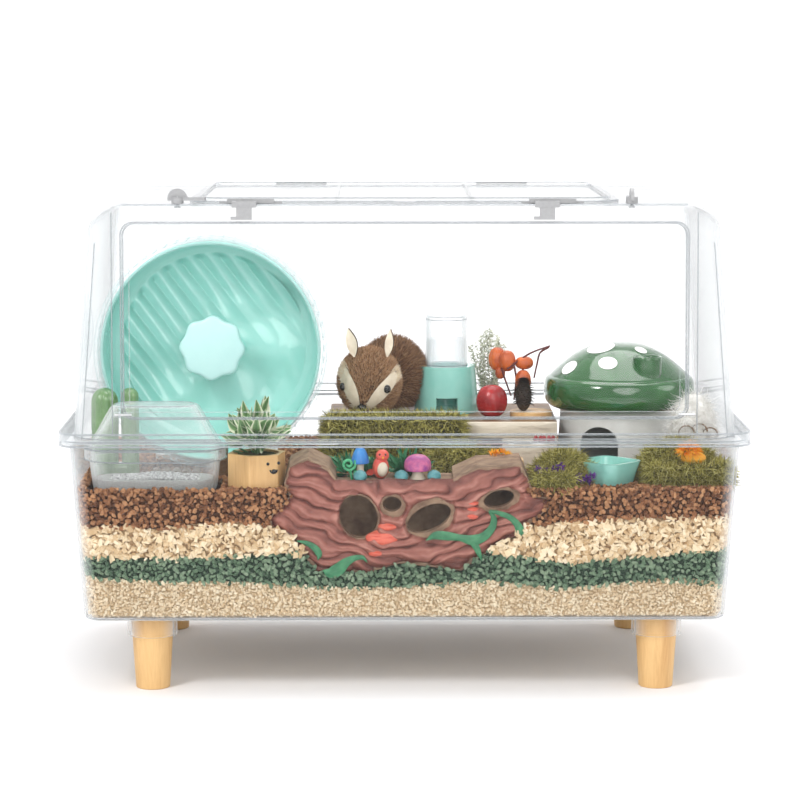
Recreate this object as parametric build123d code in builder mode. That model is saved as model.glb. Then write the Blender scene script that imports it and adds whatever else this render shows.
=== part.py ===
"""A furnished hamster cage: a clear tub on wooden legs, a lift-off clear cover, and what it holds.

Millimetres, +Z up, +Y to the back, origin on the floor under the middle of the cage.
"""
from build123d import *
import os
from math import asin, atan, cos, pi, sin

os.makedirs("parts", exist_ok=True)

# --- Tub, rim and legs ---------------------------------------------------------------------------
RIM_LENGTH = 800.0          # X, outside of the rim's lip
RIM_DEPTH = 480.0           # Y, outside of the rim's lip
RIM_CORNER = 28.0
RIM_BAND = 16.0             # height of the rim's lip
SHELF = 11.5                # from the lip's outer face to the tub's wall at the ends
SHELF_FRONT = 13.0          # the same at the front and back
WALL = 3.0                  # moulded clear plastic
LEG_HEIGHT = 87.0           # floor to the tub's underside
TUB_HEIGHT = 209.0          # tub's underside to the rim's underside
DRAFT_END = 12.5            # how far each end wall leans out over the tub's height
DRAFT_FRONT = 15.0          # the same for the front and back walls
TUB_CORNER = 24.0
TUB_FOOT_ROUND = 9.0        # rounding where the walls meet the floor
LEG_TOP_RADIUS = 25.5
LEG_FOOT_RADIUS = 20.0
LEG_X = 298.0
LEG_Y = 166.0
SOCKET_HEIGHT = 23.0
SOCKET_WALL = 4.0
FIT = 0.3                   # standing gap between pieces that only rest on each other
RUN = 0.05                  # radial clearance of a pin or shaft in its bore

# --- Cover, front door and top lid ---------------------------------------------------------------
COVER_HEIGHT = 270.7        # cover's flange to its roof
COVER_LEAN_END = 19.5       # how far each end wall leans in over that height
COVER_LEAN_FRONT = 18.0     # the same for the front and back walls
COVER_INSET = 14.4          # lip's outer face to the cover's end wall at its flange
COVER_INSET_FRONT = 15.0
COVER_CORNER = 45.0
ROOF_ROUND_END = 45.0       # rounding between the roof and the end walls
ROOF_ROUND_FRONT = 8.0
DOOR_LENGTH = 648.0
DOOR_HEIGHT = 224.0
DOOR_SILL = 26.0            # cover's flange to the door's lower edge, along the wall
DOOR_CORNER = 14.0
DOOR_GAP = 1.0
KNUCKLE_RADIUS = 3.5
KNUCKLE_LENGTH = 12.0
LUG_LENGTH = 8.0
PIN_RADIUS = 1.5
LID_LENGTH = 500.0
LID_DEPTH = 380.0
LID_CORNER = 40.0
LID_OVERLAP = 10.0          # how far the lid rests on the roof all round
LID_RIB = 3.0               # height and width of the lid's raised ribs
LID_PANE = 158.0            # spacing of the two cross ribs
LID_HINGE_LENGTH = 53.0
LID_HINGE_X = 129.0

# --- Latches -------------------------------------------------------------------------------------
LATCH_BAR = (54.0, 7.0, 5.5)
LATCH_FLANGE = 28.0
LATCH_TONGUE = 18.0
LATCH_THICK = 3.0
LATCH_X = (-177.0, 170.0)   # middle of each latch's bar
LATCH_GAP = 0.6
LATCH_SHIFT = 7.0           # from the bar's middle to the tongue's
LATCH_OUT = 3.0             # front wall to the tongue's back
BOLT = (16.0, 4.0)          # length and height
BOLT_OUT = 6.5              # how far it reaches past the tongue's side
BOLT_RISE = 5.5             # above the door's top edge
CATCH = (26.0, 12.0, 7.0)   # length, height and how far each catch stands out from the door
CATCH_RISE = 11.0           # how far its keeper plate rises past the door's top edge
KEEPER = 2.0                # thickness of the keeper plate
TURN_X = 261.0
TURN_Y = -196.0
TURN_ARM = (33.0, 7.0, 4.0)
TURN_DISC_RADIUS = 11.5
TURN_DISC_THICK = 4.0
TURN_HEIGHT = 17.4
TURN_SCREW_RADIUS = 2.0

# --- Bedding -------------------------------------------------------------------------------------
BED_TOP = 157.0             # tub's underside to the level top of the bedding
BED_STEP = 95.0             # spacing of the heights below, from the left end to the right
FINE_TOP = (55, 48, 47, 41, 41, 48, 39, 49, 41)
GREEN_TOP = (77, 76, 80, 83, 80, 84, 70, 80, 86)
CHIPS_TOP = (116, 111, 119, 104, 110, 107, 118, 123, 124)

# --- Exercise wheel ------------------------------------------------------------------------------
WHEEL_RADIUS = 140.0
WHEEL_DEPTH = 86.0
WHEEL_X = -232.0
WHEEL_FRONT = -80.0
WHEEL_LIFT = 5.0            # above the bedding
RING_REACH = 8.0            # how far the ring's flanges stand out from the bowl
WHEEL_WALL = 3.0
HUB_RADIUS = 14.0
HUB_LENGTH = 44.0
BEARING_RADIUS = 8.0
BEARING_WIDTH = 5.0
AXLE_RADIUS = 4.0
CAP_RADIUS = 40.0
CAP_LOBES = 8
CAP_THICK = 6.0
STAND_THICK = 10.0
STAND_GAP = 8.0

# --- Furnishings ---------------------------------------------------------------------------------
# Rounded pieces: x, y, heights of the foot, widest part and top above what they stand on, radius.
HEDGEHOG_HEAD = (-43.0, -10.0, 0.0, 45.0, 98.0, 41.0)
HEDGEHOG_BACK = (-32.0, 45.0, 0.0, 48.0, 104.0, 44.0)
LICHEN = (108.0, 64.0, 0.0, 40.0, 104.0, 16.0)
POD_BUNCH = (126.0, 28.0, 44.0, 62.0, 82.0, 19.0)
POD_STEM = 4.0
RED_POD = (112.0, -30.0, 0.0, 22.0, 44.0, 17.0)
MARIGOLD = (338.0, -170.0, 0.0, 6.7, 14.7, 16.0)
COTTON = (347.0, -100.0, 0.0, 42.0, 95.0, 27.0)
STONE = (-112.0, -112.0, 0.0, 9.0, 26.0, 22.0)
PLANT = (6.0, 36.0, 70.0, 32.0)     # the same, about the pot's own place
SOIL_DEPTH = 12.0
MOSS_MIDDLE = (175.0, -190.0, 40.0, 38.0, 17.0)     # x, y, length, depth and height
MOSS_RIGHT = (333.0, -168.0, 92.0, 50.0, 22.0)
BLOCK_PLACE = (113.0, -122.0)
BLOCK = (56.0, 22.0, 20.0)
BATH = (166.0, 90.0, 44.0)  # length, depth and corner of the sand bath's rim
BATH_PLACE = (-292.0, -170.0)
BATH_SUNK = 11.0
BATH_HEIGHT = 55.0
BATH_HOOD = 50.0
BATH_WALL = 2.5
SAND_DEPTH = 16.0
PLATFORM = (-90.0, 186.0, -60.0, 110.0)
PLATFORM_HEIGHT = 57.0
BOARD = 8.0
BOTTLE_PLACE = (54.0, 40.0)
BOTTLE_RADIUS = 26.0
BOTTLE_BODY = 74.0
BOTTLE_NECK_RADIUS = 11.0
BOTTLE_GLASS = 2.0
BASE_RADIUS = 40.0
BASE_HEIGHT = 57.3
HOUSE_PLACE = (266.0, 0.0)
HOUSE_RADIUS = 76.0
HOUSE_HEIGHT = 67.0
HOUSE_WALL = 5.0
ROOF_RADIUS = 93.0
ROOF_BAND = 37.0
ROOF_HEIGHT = 80.0
BOWL_SIDE = 62.0
BOWL_PLACE = (239.0, -168.0)
BOWL_HEIGHT = 26.0
LOG_DEPTH = 66.0
LOG_WALL = 10.0
LOG_SETBACK = 10.0          # clear tub wall to the log's face, which the fungi stand in
POT_PLACE = (-173.0, -180.0)
POT_RADIUS = 35.0
POT_HEIGHT = 38.0

# --- Worked out ----------------------------------------------------------------------------------
RIM_Z = LEG_HEIGHT + TUB_HEIGHT
SHELF_Z = RIM_Z + WALL
COVER_Z = SHELF_Z + FIT
FLANGE_TOP = COVER_Z + WALL
ROOF_Z = FLANGE_TOP + COVER_HEIGHT
BED_Z = LEG_HEIGHT + BED_TOP
STAND_Z = BED_Z + FIT
PLATFORM_Z = STAND_Z + PLATFORM_HEIGHT
DECK_Z = PLATFORM_Z + FIT
TUB_LENGTH_TOP = RIM_LENGTH - 2 * SHELF
TUB_DEPTH_TOP = RIM_DEPTH - 2 * SHELF_FRONT
COVER_LENGTH = RIM_LENGTH - 2 * COVER_INSET
COVER_DEPTH = RIM_DEPTH - 2 * COVER_INSET_FRONT
WHEEL_Z = BED_Z + WHEEL_LIFT + WHEEL_RADIUS
WHEEL_BOWL_RADIUS = WHEEL_RADIUS - RING_REACH
WHEEL_BACK = WHEEL_FRONT + WHEEL_DEPTH
HAIR = 0.02

COVER_LEAN = atan(COVER_LEAN_FRONT / COVER_HEIGHT)
FRONT_WALL = Plane(
    origin=(0, -COVER_DEPTH / 2, FLANGE_TOP),
    x_dir=(1, 0, 0),
    z_dir=(0, -cos(COVER_LEAN), sin(COVER_LEAN)),
)
TUB_LEAN = atan(DRAFT_FRONT / TUB_HEIGHT)
TUB_PANE = Plane(
    origin=(0, -(TUB_DEPTH_TOP / 2 - DRAFT_FRONT - WALL), LEG_HEIGHT),
    x_dir=(1, 0, 0),
    z_dir=(0, -cos(TUB_LEAN), -sin(TUB_LEAN)),
)


# --- Helpers -------------------------------------------------------------------------------------
def save(piece, name):
    """Labels one finished piece and writes its STEP file."""
    piece.part.label = name
    export_step(piece.part, f"parts/{name}.step")


def upright(x, y):
    """A plane facing the front, through (x, y), with its own height equal to Z."""
    return Plane(origin=(x, y, 0), x_dir=(1, 0, 0), z_dir=(0, -1, 0))


def level(x, y, z):
    """A level plane with its middle at (x, y, z)."""
    return Plane(origin=(x, y, z), x_dir=(1, 0, 0), z_dir=(0, 0, 1))


def tub_size(z, inset):
    """Length and depth of the tub's walls at height z, measured inset from their outer faces."""
    rise = (z - RIM_Z) / TUB_HEIGHT
    length = TUB_LENGTH_TOP + 2 * DRAFT_END * rise - 2 * inset
    depth = TUB_DEPTH_TOP + 2 * DRAFT_FRONT * rise - 2 * inset
    return length, depth


def tapered_block(low, low_size, high, high_size, corner, foot_round=0.0, place=(0, 0)):
    """A block between two rounded rectangles, with its lower edge rounded if asked."""
    with BuildPart() as block:
        with BuildSketch(level(*place, low)):
            RectangleRounded(*low_size, corner)
        with BuildSketch(level(*place, high)):
            RectangleRounded(*high_size, corner)
        loft()
        if foot_round:
            fillet(block.edges().group_by(Axis.Z)[0], radius=foot_round)
    return block.part


def roof_profile(half_low, half_high, low, high):
    """A cut through the cover a hair larger than it, so that only its rounded corners cut."""
    half_low += HAIR
    half_high += HAIR
    foot = low - WALL
    with BuildSketch(mode=Mode.PRIVATE) as profile:
        Polygon((-half_low, foot), (half_low, foot), (half_high, high + HAIR), (-half_high, high + HAIR),
                align=None)
    return profile.sketch


def cover_block(inset, low, high):
    """The cover's outline, inset from its outer face: leaning walls and a rounded roof."""
    lean_x = COVER_LEAN_END / COVER_HEIGHT
    lean_y = COVER_LEAN_FRONT / COVER_HEIGHT
    half_low = COVER_LENGTH / 2 - inset - lean_x * (low - FLANGE_TOP)
    half_high = COVER_LENGTH / 2 - inset - lean_x * (high - FLANGE_TOP)
    deep_low = COVER_DEPTH / 2 - inset - lean_y * (low - FLANGE_TOP)
    deep_high = COVER_DEPTH / 2 - inset - lean_y * (high - FLANGE_TOP)
    block = tapered_block(low, (2 * half_low, 2 * deep_low), high, (2 * half_high, 2 * deep_high),
                          COVER_CORNER - inset)
    with BuildPart() as shaped:
        add(block)
        with BuildSketch(Plane.XZ) as ends:
            add(roof_profile(half_low, half_high, low, high))
            fillet(ends.vertices().group_by(Axis.Y)[-1], ROOF_ROUND_END - inset)
        extrude(amount=RIM_DEPTH, both=True, mode=Mode.INTERSECT)
        with BuildSketch(Plane.YZ) as sides:
            add(roof_profile(deep_low, deep_high, low, high))
            fillet(sides.vertices().group_by(Axis.Y)[-1], ROOF_ROUND_FRONT - inset)
        extrude(amount=RIM_LENGTH, both=True, mode=Mode.INTERSECT)
    return shaped.part


def dome(x, y, low, centre, high, radius):
    """A round heap: an upright ellipsoid about a given centre height, cut flat at its foot."""
    rise = high - centre
    dip = asin((centre - low) / rise)
    steps = 6
    curve = []
    for step in range(steps + 1):
        turn = -dip + (pi / 2 + dip) * step / steps
        curve.append((radius * cos(turn), centre + rise * sin(turn)))
    with BuildPart() as heap:
        with BuildSketch(upright(x, y)):
            with BuildLine():
                Polyline((0, high), (0, low), curve[0])
                Spline(*curve[:-1], (0, high), tangents=((sin(dip) * radius, cos(dip) * rise), (-1, 0)))
            make_face()
        revolve(axis=Axis((x, y, 0), (0, 0, 1)))
    return heap.part


def dome_on(floor_z, x, y, foot, widest, top, radius):
    """A dome whose heights are given above what it stands on."""
    return dome(x, y, floor_z + foot, floor_z + widest, floor_z + top, radius)


def turned(x, y, points):
    """A piece turned about the upright axis through (x, y), from a closed outline of (radius, z)."""
    with BuildPart() as piece:
        with BuildSketch(upright(x, y)):
            with BuildLine():
                Polyline(*points, close=True)
            make_face()
        revolve(axis=Axis((x, y, 0), (0, 0, 1)))
    return piece.part


# --- Tub and legs --------------------------------------------------------------------------------
tub_outer = tapered_block(LEG_HEIGHT, tub_size(LEG_HEIGHT, 0), RIM_Z, tub_size(RIM_Z, 0),
                          TUB_CORNER, TUB_FOOT_ROUND)
FLOOR_Z = LEG_HEIGHT + WALL
tub_inner = tapered_block(FLOOR_Z, tub_size(FLOOR_Z, WALL), SHELF_Z, tub_size(SHELF_Z, WALL),
                          TUB_CORNER - WALL, TUB_FOOT_ROUND - WALL)
SOCKET_RADIUS = LEG_TOP_RADIUS + SOCKET_WALL
LEG_PLACES = {
    "leg_front_left": (-LEG_X, -LEG_Y),
    "leg_front_right": (LEG_X, -LEG_Y),
    "leg_rear_left": (-LEG_X, LEG_Y),
    "leg_rear_right": (LEG_X, LEG_Y),
}
SOCKET_Z = LEG_HEIGHT - SOCKET_HEIGHT
LEG_TAPER = (LEG_TOP_RADIUS - LEG_FOOT_RADIUS) / LEG_HEIGHT

with BuildPart() as tub:
    add(tub_outer)
    with BuildSketch(Plane.XY.offset(RIM_Z)):
        RectangleRounded(RIM_LENGTH, RIM_DEPTH, RIM_CORNER)
    extrude(amount=WALL)
    with BuildSketch(Plane.XY.offset(RIM_Z)):
        RectangleRounded(RIM_LENGTH, RIM_DEPTH, RIM_CORNER)
        RectangleRounded(RIM_LENGTH - 2 * WALL, RIM_DEPTH - 2 * WALL, RIM_CORNER - WALL,
                         mode=Mode.SUBTRACT)
    extrude(amount=RIM_BAND)
    add(tub_inner, mode=Mode.SUBTRACT)
    with BuildSketch(Plane.XY.offset(SOCKET_Z)):
        with Locations(*LEG_PLACES.values()):
            Circle(SOCKET_RADIUS)
            Circle(LEG_TOP_RADIUS + FIT, mode=Mode.SUBTRACT)
    extrude(amount=SOCKET_HEIGHT)
save(tub, "tub")

for leg_name, (leg_x, leg_y) in LEG_PLACES.items():
    leg_top = LEG_HEIGHT - FIT
    top_radius = LEG_FOOT_RADIUS + LEG_TAPER * leg_top
    with BuildPart() as leg:
        with BuildSketch(level(leg_x, leg_y, 0)):
            Circle(LEG_FOOT_RADIUS)
        with BuildSketch(level(leg_x, leg_y, leg_top)):
            Circle(top_radius)
        loft()
        chamfer(leg.edges().group_by(Axis.Z)[0], length=1.0)
    save(leg, leg_name)

# --- Cover ---------------------------------------------------------------------------------------
cover_outer = cover_block(0, FLANGE_TOP, ROOF_Z)
cover_inner = cover_block(WALL, FLANGE_TOP - WALL, ROOF_Z - WALL)
DOOR_MIDDLE = DOOR_SILL + DOOR_HEIGHT / 2
HINGE_UP = KNUCKLE_RADIUS + 0.5
HINGE_OUT = 1.5
LUG_X = DOOR_LENGTH / 2 + DOOR_GAP + 1.5
BAND = LID_LENGTH - 2 * LID_OVERLAP, LID_DEPTH - 2 * LID_OVERLAP
LID_HINGE_Y = LID_DEPTH / 2 + 5.0
LID_Z = ROOF_Z + FIT
LID_HINGE_Z = LID_Z + 4.5
LID_KNUCKLE = 4.0
STOP_BLOCK = (50.0, 9.0, 2.0)
STOP_UP = DOOR_SILL + DOOR_HEIGHT + 7.0
door_axis = FRONT_WALL.from_local_coords(Vector(0, DOOR_SILL + HINGE_UP, HINGE_OUT))


def hinge_plane(x, axis_point):
    """A plane across the X axis at x, centred on a hinge axis."""
    return Plane(origin=(x, axis_point.Y, axis_point.Z), x_dir=(0, 1, 0), z_dir=(1, 0, 0))


lid_axis = Vector(0, LID_HINGE_Y, LID_HINGE_Z)
LID_LUG = 6.0
lug_starts = (-LUG_X - LUG_LENGTH, LUG_X)
lid_lug_starts = []
for hinge_x in (-LID_HINGE_X, LID_HINGE_X):
    lid_lug_starts.append(hinge_x - LID_HINGE_LENGTH / 2 - LID_LUG - 0.4)
    lid_lug_starts.append(hinge_x + LID_HINGE_LENGTH / 2 + 0.4)

with BuildPart() as cover:
    with BuildSketch(Plane.XY.offset(COVER_Z)):
        RectangleRounded(RIM_LENGTH - 2 * WALL - 4 * FIT, RIM_DEPTH - 2 * WALL - 4 * FIT,
                         RIM_CORNER - WALL - 2 * FIT)
    extrude(amount=WALL)
    add(cover_outer)
    with BuildSketch(FRONT_WALL):
        with Locations((-DOOR_LENGTH / 2 + STOP_BLOCK[0] / 2, STOP_UP),
                       (DOOR_LENGTH / 2 - STOP_BLOCK[0] / 2, STOP_UP)):
            Rectangle(STOP_BLOCK[0], STOP_BLOCK[1])
    extrude(amount=STOP_BLOCK[2])
    add(cover_inner, mode=Mode.SUBTRACT)
    with BuildSketch(FRONT_WALL) as doorway:
        with Locations((0, DOOR_MIDDLE)):
            Rectangle(DOOR_LENGTH + 2 * DOOR_GAP, DOOR_HEIGHT + 2 * DOOR_GAP)
        fillet(doorway.vertices().group_by(Axis.Y)[-1], DOOR_CORNER + DOOR_GAP)
    extrude(amount=-4 * WALL, mode=Mode.SUBTRACT)
    with BuildSketch(Plane.XY.offset(ROOF_Z - 2 * WALL)):
        RectangleRounded(*BAND, LID_CORNER - LID_OVERLAP)
    extrude(amount=4 * WALL, mode=Mode.SUBTRACT)
    for lug_x in lug_starts:
        with BuildSketch(hinge_plane(lug_x, door_axis)):
            Circle(KNUCKLE_RADIUS)
            with Locations((1.5, 0)):
                Rectangle(KNUCKLE_RADIUS, 2 * KNUCKLE_RADIUS)
            Circle(PIN_RADIUS + RUN, mode=Mode.SUBTRACT)
        extrude(amount=LUG_LENGTH)
    for lug_x in lid_lug_starts:
        with BuildSketch(hinge_plane(lug_x, lid_axis)):
            Circle(LID_KNUCKLE)
            with Locations((0, -LID_KNUCKLE / 2 - 0.4)):
                Rectangle(2 * LID_KNUCKLE, LID_KNUCKLE + 0.8)
            Circle(PIN_RADIUS + RUN, mode=Mode.SUBTRACT)
        extrude(amount=LID_LUG)
    with BuildSketch(Plane.XY.offset(ROOF_Z - 2 * WALL)):
        with Locations((-TURN_X, TURN_Y), (TURN_X, TURN_Y)):
            Circle(TURN_SCREW_RADIUS + RUN)
    extrude(amount=4 * WALL, mode=Mode.SUBTRACT)
save(cover, "cover")

# --- Front door ----------------------------------------------------------------------------------
DOOR_TOP = DOOR_SILL + DOOR_HEIGHT
BOLT_UP = DOOR_TOP + BOLT_RISE
CATCH_X = tuple(x - LATCH_SHIFT - LATCH_TONGUE / 2 - BOLT_OUT - 1.0 - CATCH[0] / 2 for x in LATCH_X)

with BuildPart() as front_door:
    with BuildSketch(FRONT_WALL) as pane:
        with Locations((0, DOOR_MIDDLE)):
            Rectangle(DOOR_LENGTH, DOOR_HEIGHT)
        fillet(pane.vertices().group_by(Axis.Y)[-1], DOOR_CORNER)
    extrude(amount=-WALL)
    for knuckle_x in (-DOOR_LENGTH / 2 + 0.5, DOOR_LENGTH / 2 - 0.5 - KNUCKLE_LENGTH):
        with BuildSketch(hinge_plane(knuckle_x, door_axis)):
            Circle(KNUCKLE_RADIUS)
            with Locations((1.5, 0)):
                Rectangle(KNUCKLE_RADIUS, 2 * KNUCKLE_RADIUS)
            Circle(PIN_RADIUS + RUN, mode=Mode.SUBTRACT)
        extrude(amount=KNUCKLE_LENGTH)
save(front_door, "front_door")

with BuildPart() as door_catches:
    for catch_x in CATCH_X:
        with BuildSketch(FRONT_WALL):
            with Locations((catch_x, DOOR_TOP - CATCH[1] / 2)):
                RectangleRounded(CATCH[0], CATCH[1], 2.0)
        extrude(amount=CATCH[2])
        with BuildSketch(FRONT_WALL.offset(LATCH_GAP)):
            with Locations((catch_x, DOOR_TOP + (CATCH_RISE - CATCH[1] / 2) / 2)):
                Rectangle(CATCH[0], CATCH_RISE + CATCH[1] / 2)
        extrude(amount=KEEPER)
save(door_catches, "door_catches")

with BuildPart() as door_hinge_pins:
    for pin_x in (-LUG_X - LUG_LENGTH + 0.5, LUG_X - KNUCKLE_LENGTH):
        with BuildSketch(hinge_plane(pin_x, door_axis)):
            Circle(PIN_RADIUS)
        extrude(amount=KNUCKLE_LENGTH + LUG_LENGTH - 0.5)
save(door_hinge_pins, "door_hinge_pins")

# --- Top lid -------------------------------------------------------------------------------------
PULL = (26.0, 14.0)
PULL_Y = -COVER_DEPTH / 2 + COVER_LEAN_FRONT - 2.0
with BuildPart() as top_lid:
    with BuildSketch(Plane.XY.offset(LID_Z)):
        RectangleRounded(LID_LENGTH, LID_DEPTH, LID_CORNER)
    extrude(amount=WALL)
    with BuildSketch(Plane.XY.offset(LID_Z + WALL)):
        RectangleRounded(*BAND, LID_CORNER - LID_OVERLAP)
        RectangleRounded(BAND[0] - 2 * LID_RIB, BAND[1] - 2 * LID_RIB, LID_CORNER - LID_OVERLAP - LID_RIB,
                         mode=Mode.SUBTRACT)
        with Locations((-LID_PANE / 2, 0), (LID_PANE / 2, 0)):
            Rectangle(LID_RIB, BAND[1] - LID_RIB)
    extrude(amount=LID_RIB)
    with BuildSketch(Plane.YZ.offset(-PULL[0] / 2)):
        with BuildLine():
            Polyline((-LID_DEPTH / 2 + 5, LID_Z), (-LID_DEPTH / 2 + 5, LID_Z + WALL),
                     (PULL_Y - 4, LID_Z + WALL), (PULL_Y - 6, LID_Z - PULL[1]),
                     (PULL_Y - 3.5, LID_Z - PULL[1]), (PULL_Y - 1.5, LID_Z), close=True)
        make_face()
    extrude(amount=PULL[0])
    for hinge_x in (-LID_HINGE_X, LID_HINGE_X):
        with BuildSketch(hinge_plane(hinge_x - LID_HINGE_LENGTH / 2, lid_axis)):
            Circle(LID_KNUCKLE)
            with Locations((-6, -LID_KNUCKLE / 2 - 0.5)):
                Rectangle(12, LID_KNUCKLE - 1)
            Circle(PIN_RADIUS + RUN, mode=Mode.SUBTRACT)
        extrude(amount=LID_HINGE_LENGTH)
save(top_lid, "top_lid")

with BuildPart() as lid_hinge_pins:
    for hinge_x in (-LID_HINGE_X, LID_HINGE_X):
        with BuildSketch(hinge_plane(hinge_x - LID_HINGE_LENGTH / 2 - LID_LUG, lid_axis)):
            Circle(PIN_RADIUS)
        extrude(amount=LID_HINGE_LENGTH + 2 * LID_LUG)
save(lid_hinge_pins, "lid_hinge_pins")

# --- Sliding latches on the front top edge --------------------------------------------------------
RAIL = (3.0, 3.0)
RAIL_Y = -LID_DEPTH / 2 - 5.5
BAR_Z = ROOF_Z + LATCH_GAP
TONGUE_HEIGHT = 21.4
ROOF_EDGE_Y = -COVER_DEPTH / 2 + COVER_LEAN_FRONT
FLANGE_FRONT = ROOF_EDGE_Y - LATCH_OUT - LATCH_THICK - LATCH_GAP
FLANGE_BACK = ROOF_EDGE_Y - LATCH_OUT
with BuildPart() as latch_rails:
    for latch_x in LATCH_X:
        with BuildSketch(level(latch_x, RAIL_Y, ROOF_Z)):
            Rectangle(LATCH_BAR[0] + 18, RAIL[0])
        extrude(amount=RAIL[1])
save(latch_rails, "latch_rails")

for latch_name, latch_x in zip(("latch_left", "latch_right"), LATCH_X):
    tongue_x = latch_x - LATCH_SHIFT
    with BuildPart() as latch:
        with BuildSketch(level(latch_x, RAIL_Y, BAR_Z)):
            Rectangle(LATCH_BAR[0], LATCH_BAR[1])
        extrude(amount=LATCH_BAR[2])
        with BuildSketch(Plane.YZ.offset(tongue_x - LATCH_FLANGE / 2)):
            with BuildLine():
                Polyline((RAIL_Y, BAR_Z), (RAIL_Y, BAR_Z + LATCH_THICK), (FLANGE_FRONT, BAR_Z + LATCH_THICK),
                         (FLANGE_FRONT, BAR_Z - 4), (FLANGE_BACK, BAR_Z - 4), (FLANGE_BACK, BAR_Z), close=True)
            make_face()
        extrude(amount=LATCH_FLANGE)
        with BuildSketch(FRONT_WALL.offset(LATCH_OUT)):
            with Locations((tongue_x, BOLT_UP - BOLT[1] / 2 + TONGUE_HEIGHT / 2)):
                Rectangle(LATCH_TONGUE, TONGUE_HEIGHT)
            with Locations((tongue_x - LATCH_TONGUE / 2 - BOLT_OUT + BOLT[0] / 2, BOLT_UP)):
                Rectangle(*BOLT)
        extrude(amount=LATCH_THICK)
        with BuildSketch(level(latch_x, RAIL_Y, ROOF_Z)):
            Rectangle(LATCH_BAR[0] + 1, RAIL[0] + 2 * LATCH_GAP)
        extrude(amount=RAIL[1] + LATCH_GAP, mode=Mode.SUBTRACT)
    save(latch, latch_name)

# --- Turn latches at the front corners of the lid -------------------------------------------------
ARM_Z = LID_Z + WALL + 0.5
TURN_BASE_RADIUS = 7.0
for turn_name, side, angle in (("turn_latch_left", -1, 0), ("turn_latch_right", 1, 90)):
    arm_end = TURN_ARM[0] - TURN_ARM[1] / 2
    with BuildPart() as turn_latch:
        with BuildSketch(level(side * TURN_X, TURN_Y, ROOF_Z + FIT)):
            Circle(TURN_BASE_RADIUS)
        extrude(amount=ARM_Z - ROOF_Z - FIT)
        arm_plane = level(side * TURN_X, TURN_Y, ARM_Z).rotated((0, 0, angle))
        with BuildSketch(arm_plane):
            Circle(TURN_BASE_RADIUS)
            with Locations((arm_end / 2, 0)):
                Rectangle(arm_end, TURN_ARM[1])
            with Locations((arm_end, 0)):
                Circle(TURN_ARM[1] / 2)
        extrude(amount=TURN_ARM[2])
        disc_low = ROOF_Z + FIT
        disc_high = disc_low + TURN_HEIGHT
        disc_plane = level(side * TURN_X, TURN_Y, 0).rotated((0, 0, angle))
        face = Plane(origin=disc_plane.origin, x_dir=disc_plane.x_dir, z_dir=-disc_plane.y_dir)
        with BuildSketch(face.offset(-TURN_DISC_THICK / 2)):
            with Locations((0, disc_high - TURN_DISC_RADIUS)):
                Circle(TURN_DISC_RADIUS)
            with Locations((0, (ARM_Z + disc_high + 2) / 2)):
                Rectangle(2 * TURN_DISC_RADIUS, disc_high + 2 - ARM_Z, mode=Mode.INTERSECT)
        extrude(amount=TURN_DISC_THICK)
        with BuildSketch(level(side * TURN_X, TURN_Y, ROOF_Z)):
            Circle(TURN_SCREW_RADIUS + RUN)
        extrude(amount=9.0, mode=Mode.SUBTRACT)
    save(turn_latch, turn_name)

with BuildPart() as turn_latch_screws:
    with BuildSketch(Plane.XY.offset(ROOF_Z - WALL - 2.0)):
        with Locations((-TURN_X, TURN_Y), (TURN_X, TURN_Y)):
            Circle(2 * TURN_SCREW_RADIUS)
    extrude(amount=2.0)
    with BuildSketch(Plane.XY.offset(ROOF_Z - WALL)):
        with Locations((-TURN_X, TURN_Y), (TURN_X, TURN_Y)):
            Circle(TURN_SCREW_RADIUS)
    extrude(amount=WALL + 8.0)
save(turn_latch_screws, "turn_latch_screws")

# --- Log hideout and what stands on it ------------------------------------------------------------
# Heights below are above the tub's underside, in the plane of the tub's front pane.
LOG_OUTLINE = (
    (-112, 192), (-134, 182), (-140, 163), (-134, 147), (-160, 120), (-155, 111), (-134, 101),
    (-104, 57), (-42, 56), (-7, 67), (38, 62), (66, 58), (90, 76), (131, 101), (168, 133),
    (166, 147), (152, 147), (135, 184), (84, 181), (56, 168), (-80, 168), (-88, 180),
)
LOG_CAVITY = ((-122, 152), (-112, 112), (-92, 76), (60, 76), (120, 110), (136, 150), (112, 166),
              (60, 155), (-50, 150), (-100, 168))
LOG_HOLES = (
    (-54, 123, 22, 26, 20), (-15, 138, 11, 9, 0), (28, 121, 27, 15, 25), (109, 144, 18, 10, 15),
)
LOG_FACE = TUB_PANE.offset(-LOG_SETBACK)
LOG_BACK_Y = LOG_FACE.from_local_coords(Vector(0, 165, -LOG_DEPTH / 2)).Y
LOG_SEAT_Z = LEG_HEIGHT + 165.0
LOG_SEAT_X = -12.0
LOG_SEAT_LENGTH = 136.0

with BuildPart() as log_hideout:
    with BuildSketch(LOG_FACE):
        with BuildLine():
            Polyline(*LOG_OUTLINE, close=True)
        make_face()
    extrude(amount=-LOG_DEPTH)
    with BuildSketch(LOG_FACE.offset(-LOG_WALL)):
        with BuildLine():
            Polyline(*LOG_CAVITY, close=True)
        make_face()
    extrude(amount=-(LOG_DEPTH - 2 * LOG_WALL), mode=Mode.SUBTRACT)
    with BuildSketch(LOG_FACE):
        for hole_x, hole_z, wide, tall, tilt in LOG_HOLES:
            with Locations(Location((hole_x, hole_z), tilt)):
                Ellipse(wide, tall)
    extrude(amount=-2 * LOG_WALL, mode=Mode.SUBTRACT)
    with BuildSketch(level(LOG_SEAT_X, LOG_BACK_Y, LOG_SEAT_Z)):
        Rectangle(LOG_SEAT_LENGTH, 2 * LOG_DEPTH)
    extrude(amount=LOG_DEPTH, mode=Mode.SUBTRACT)
save(log_hideout, "log_hideout")

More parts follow.
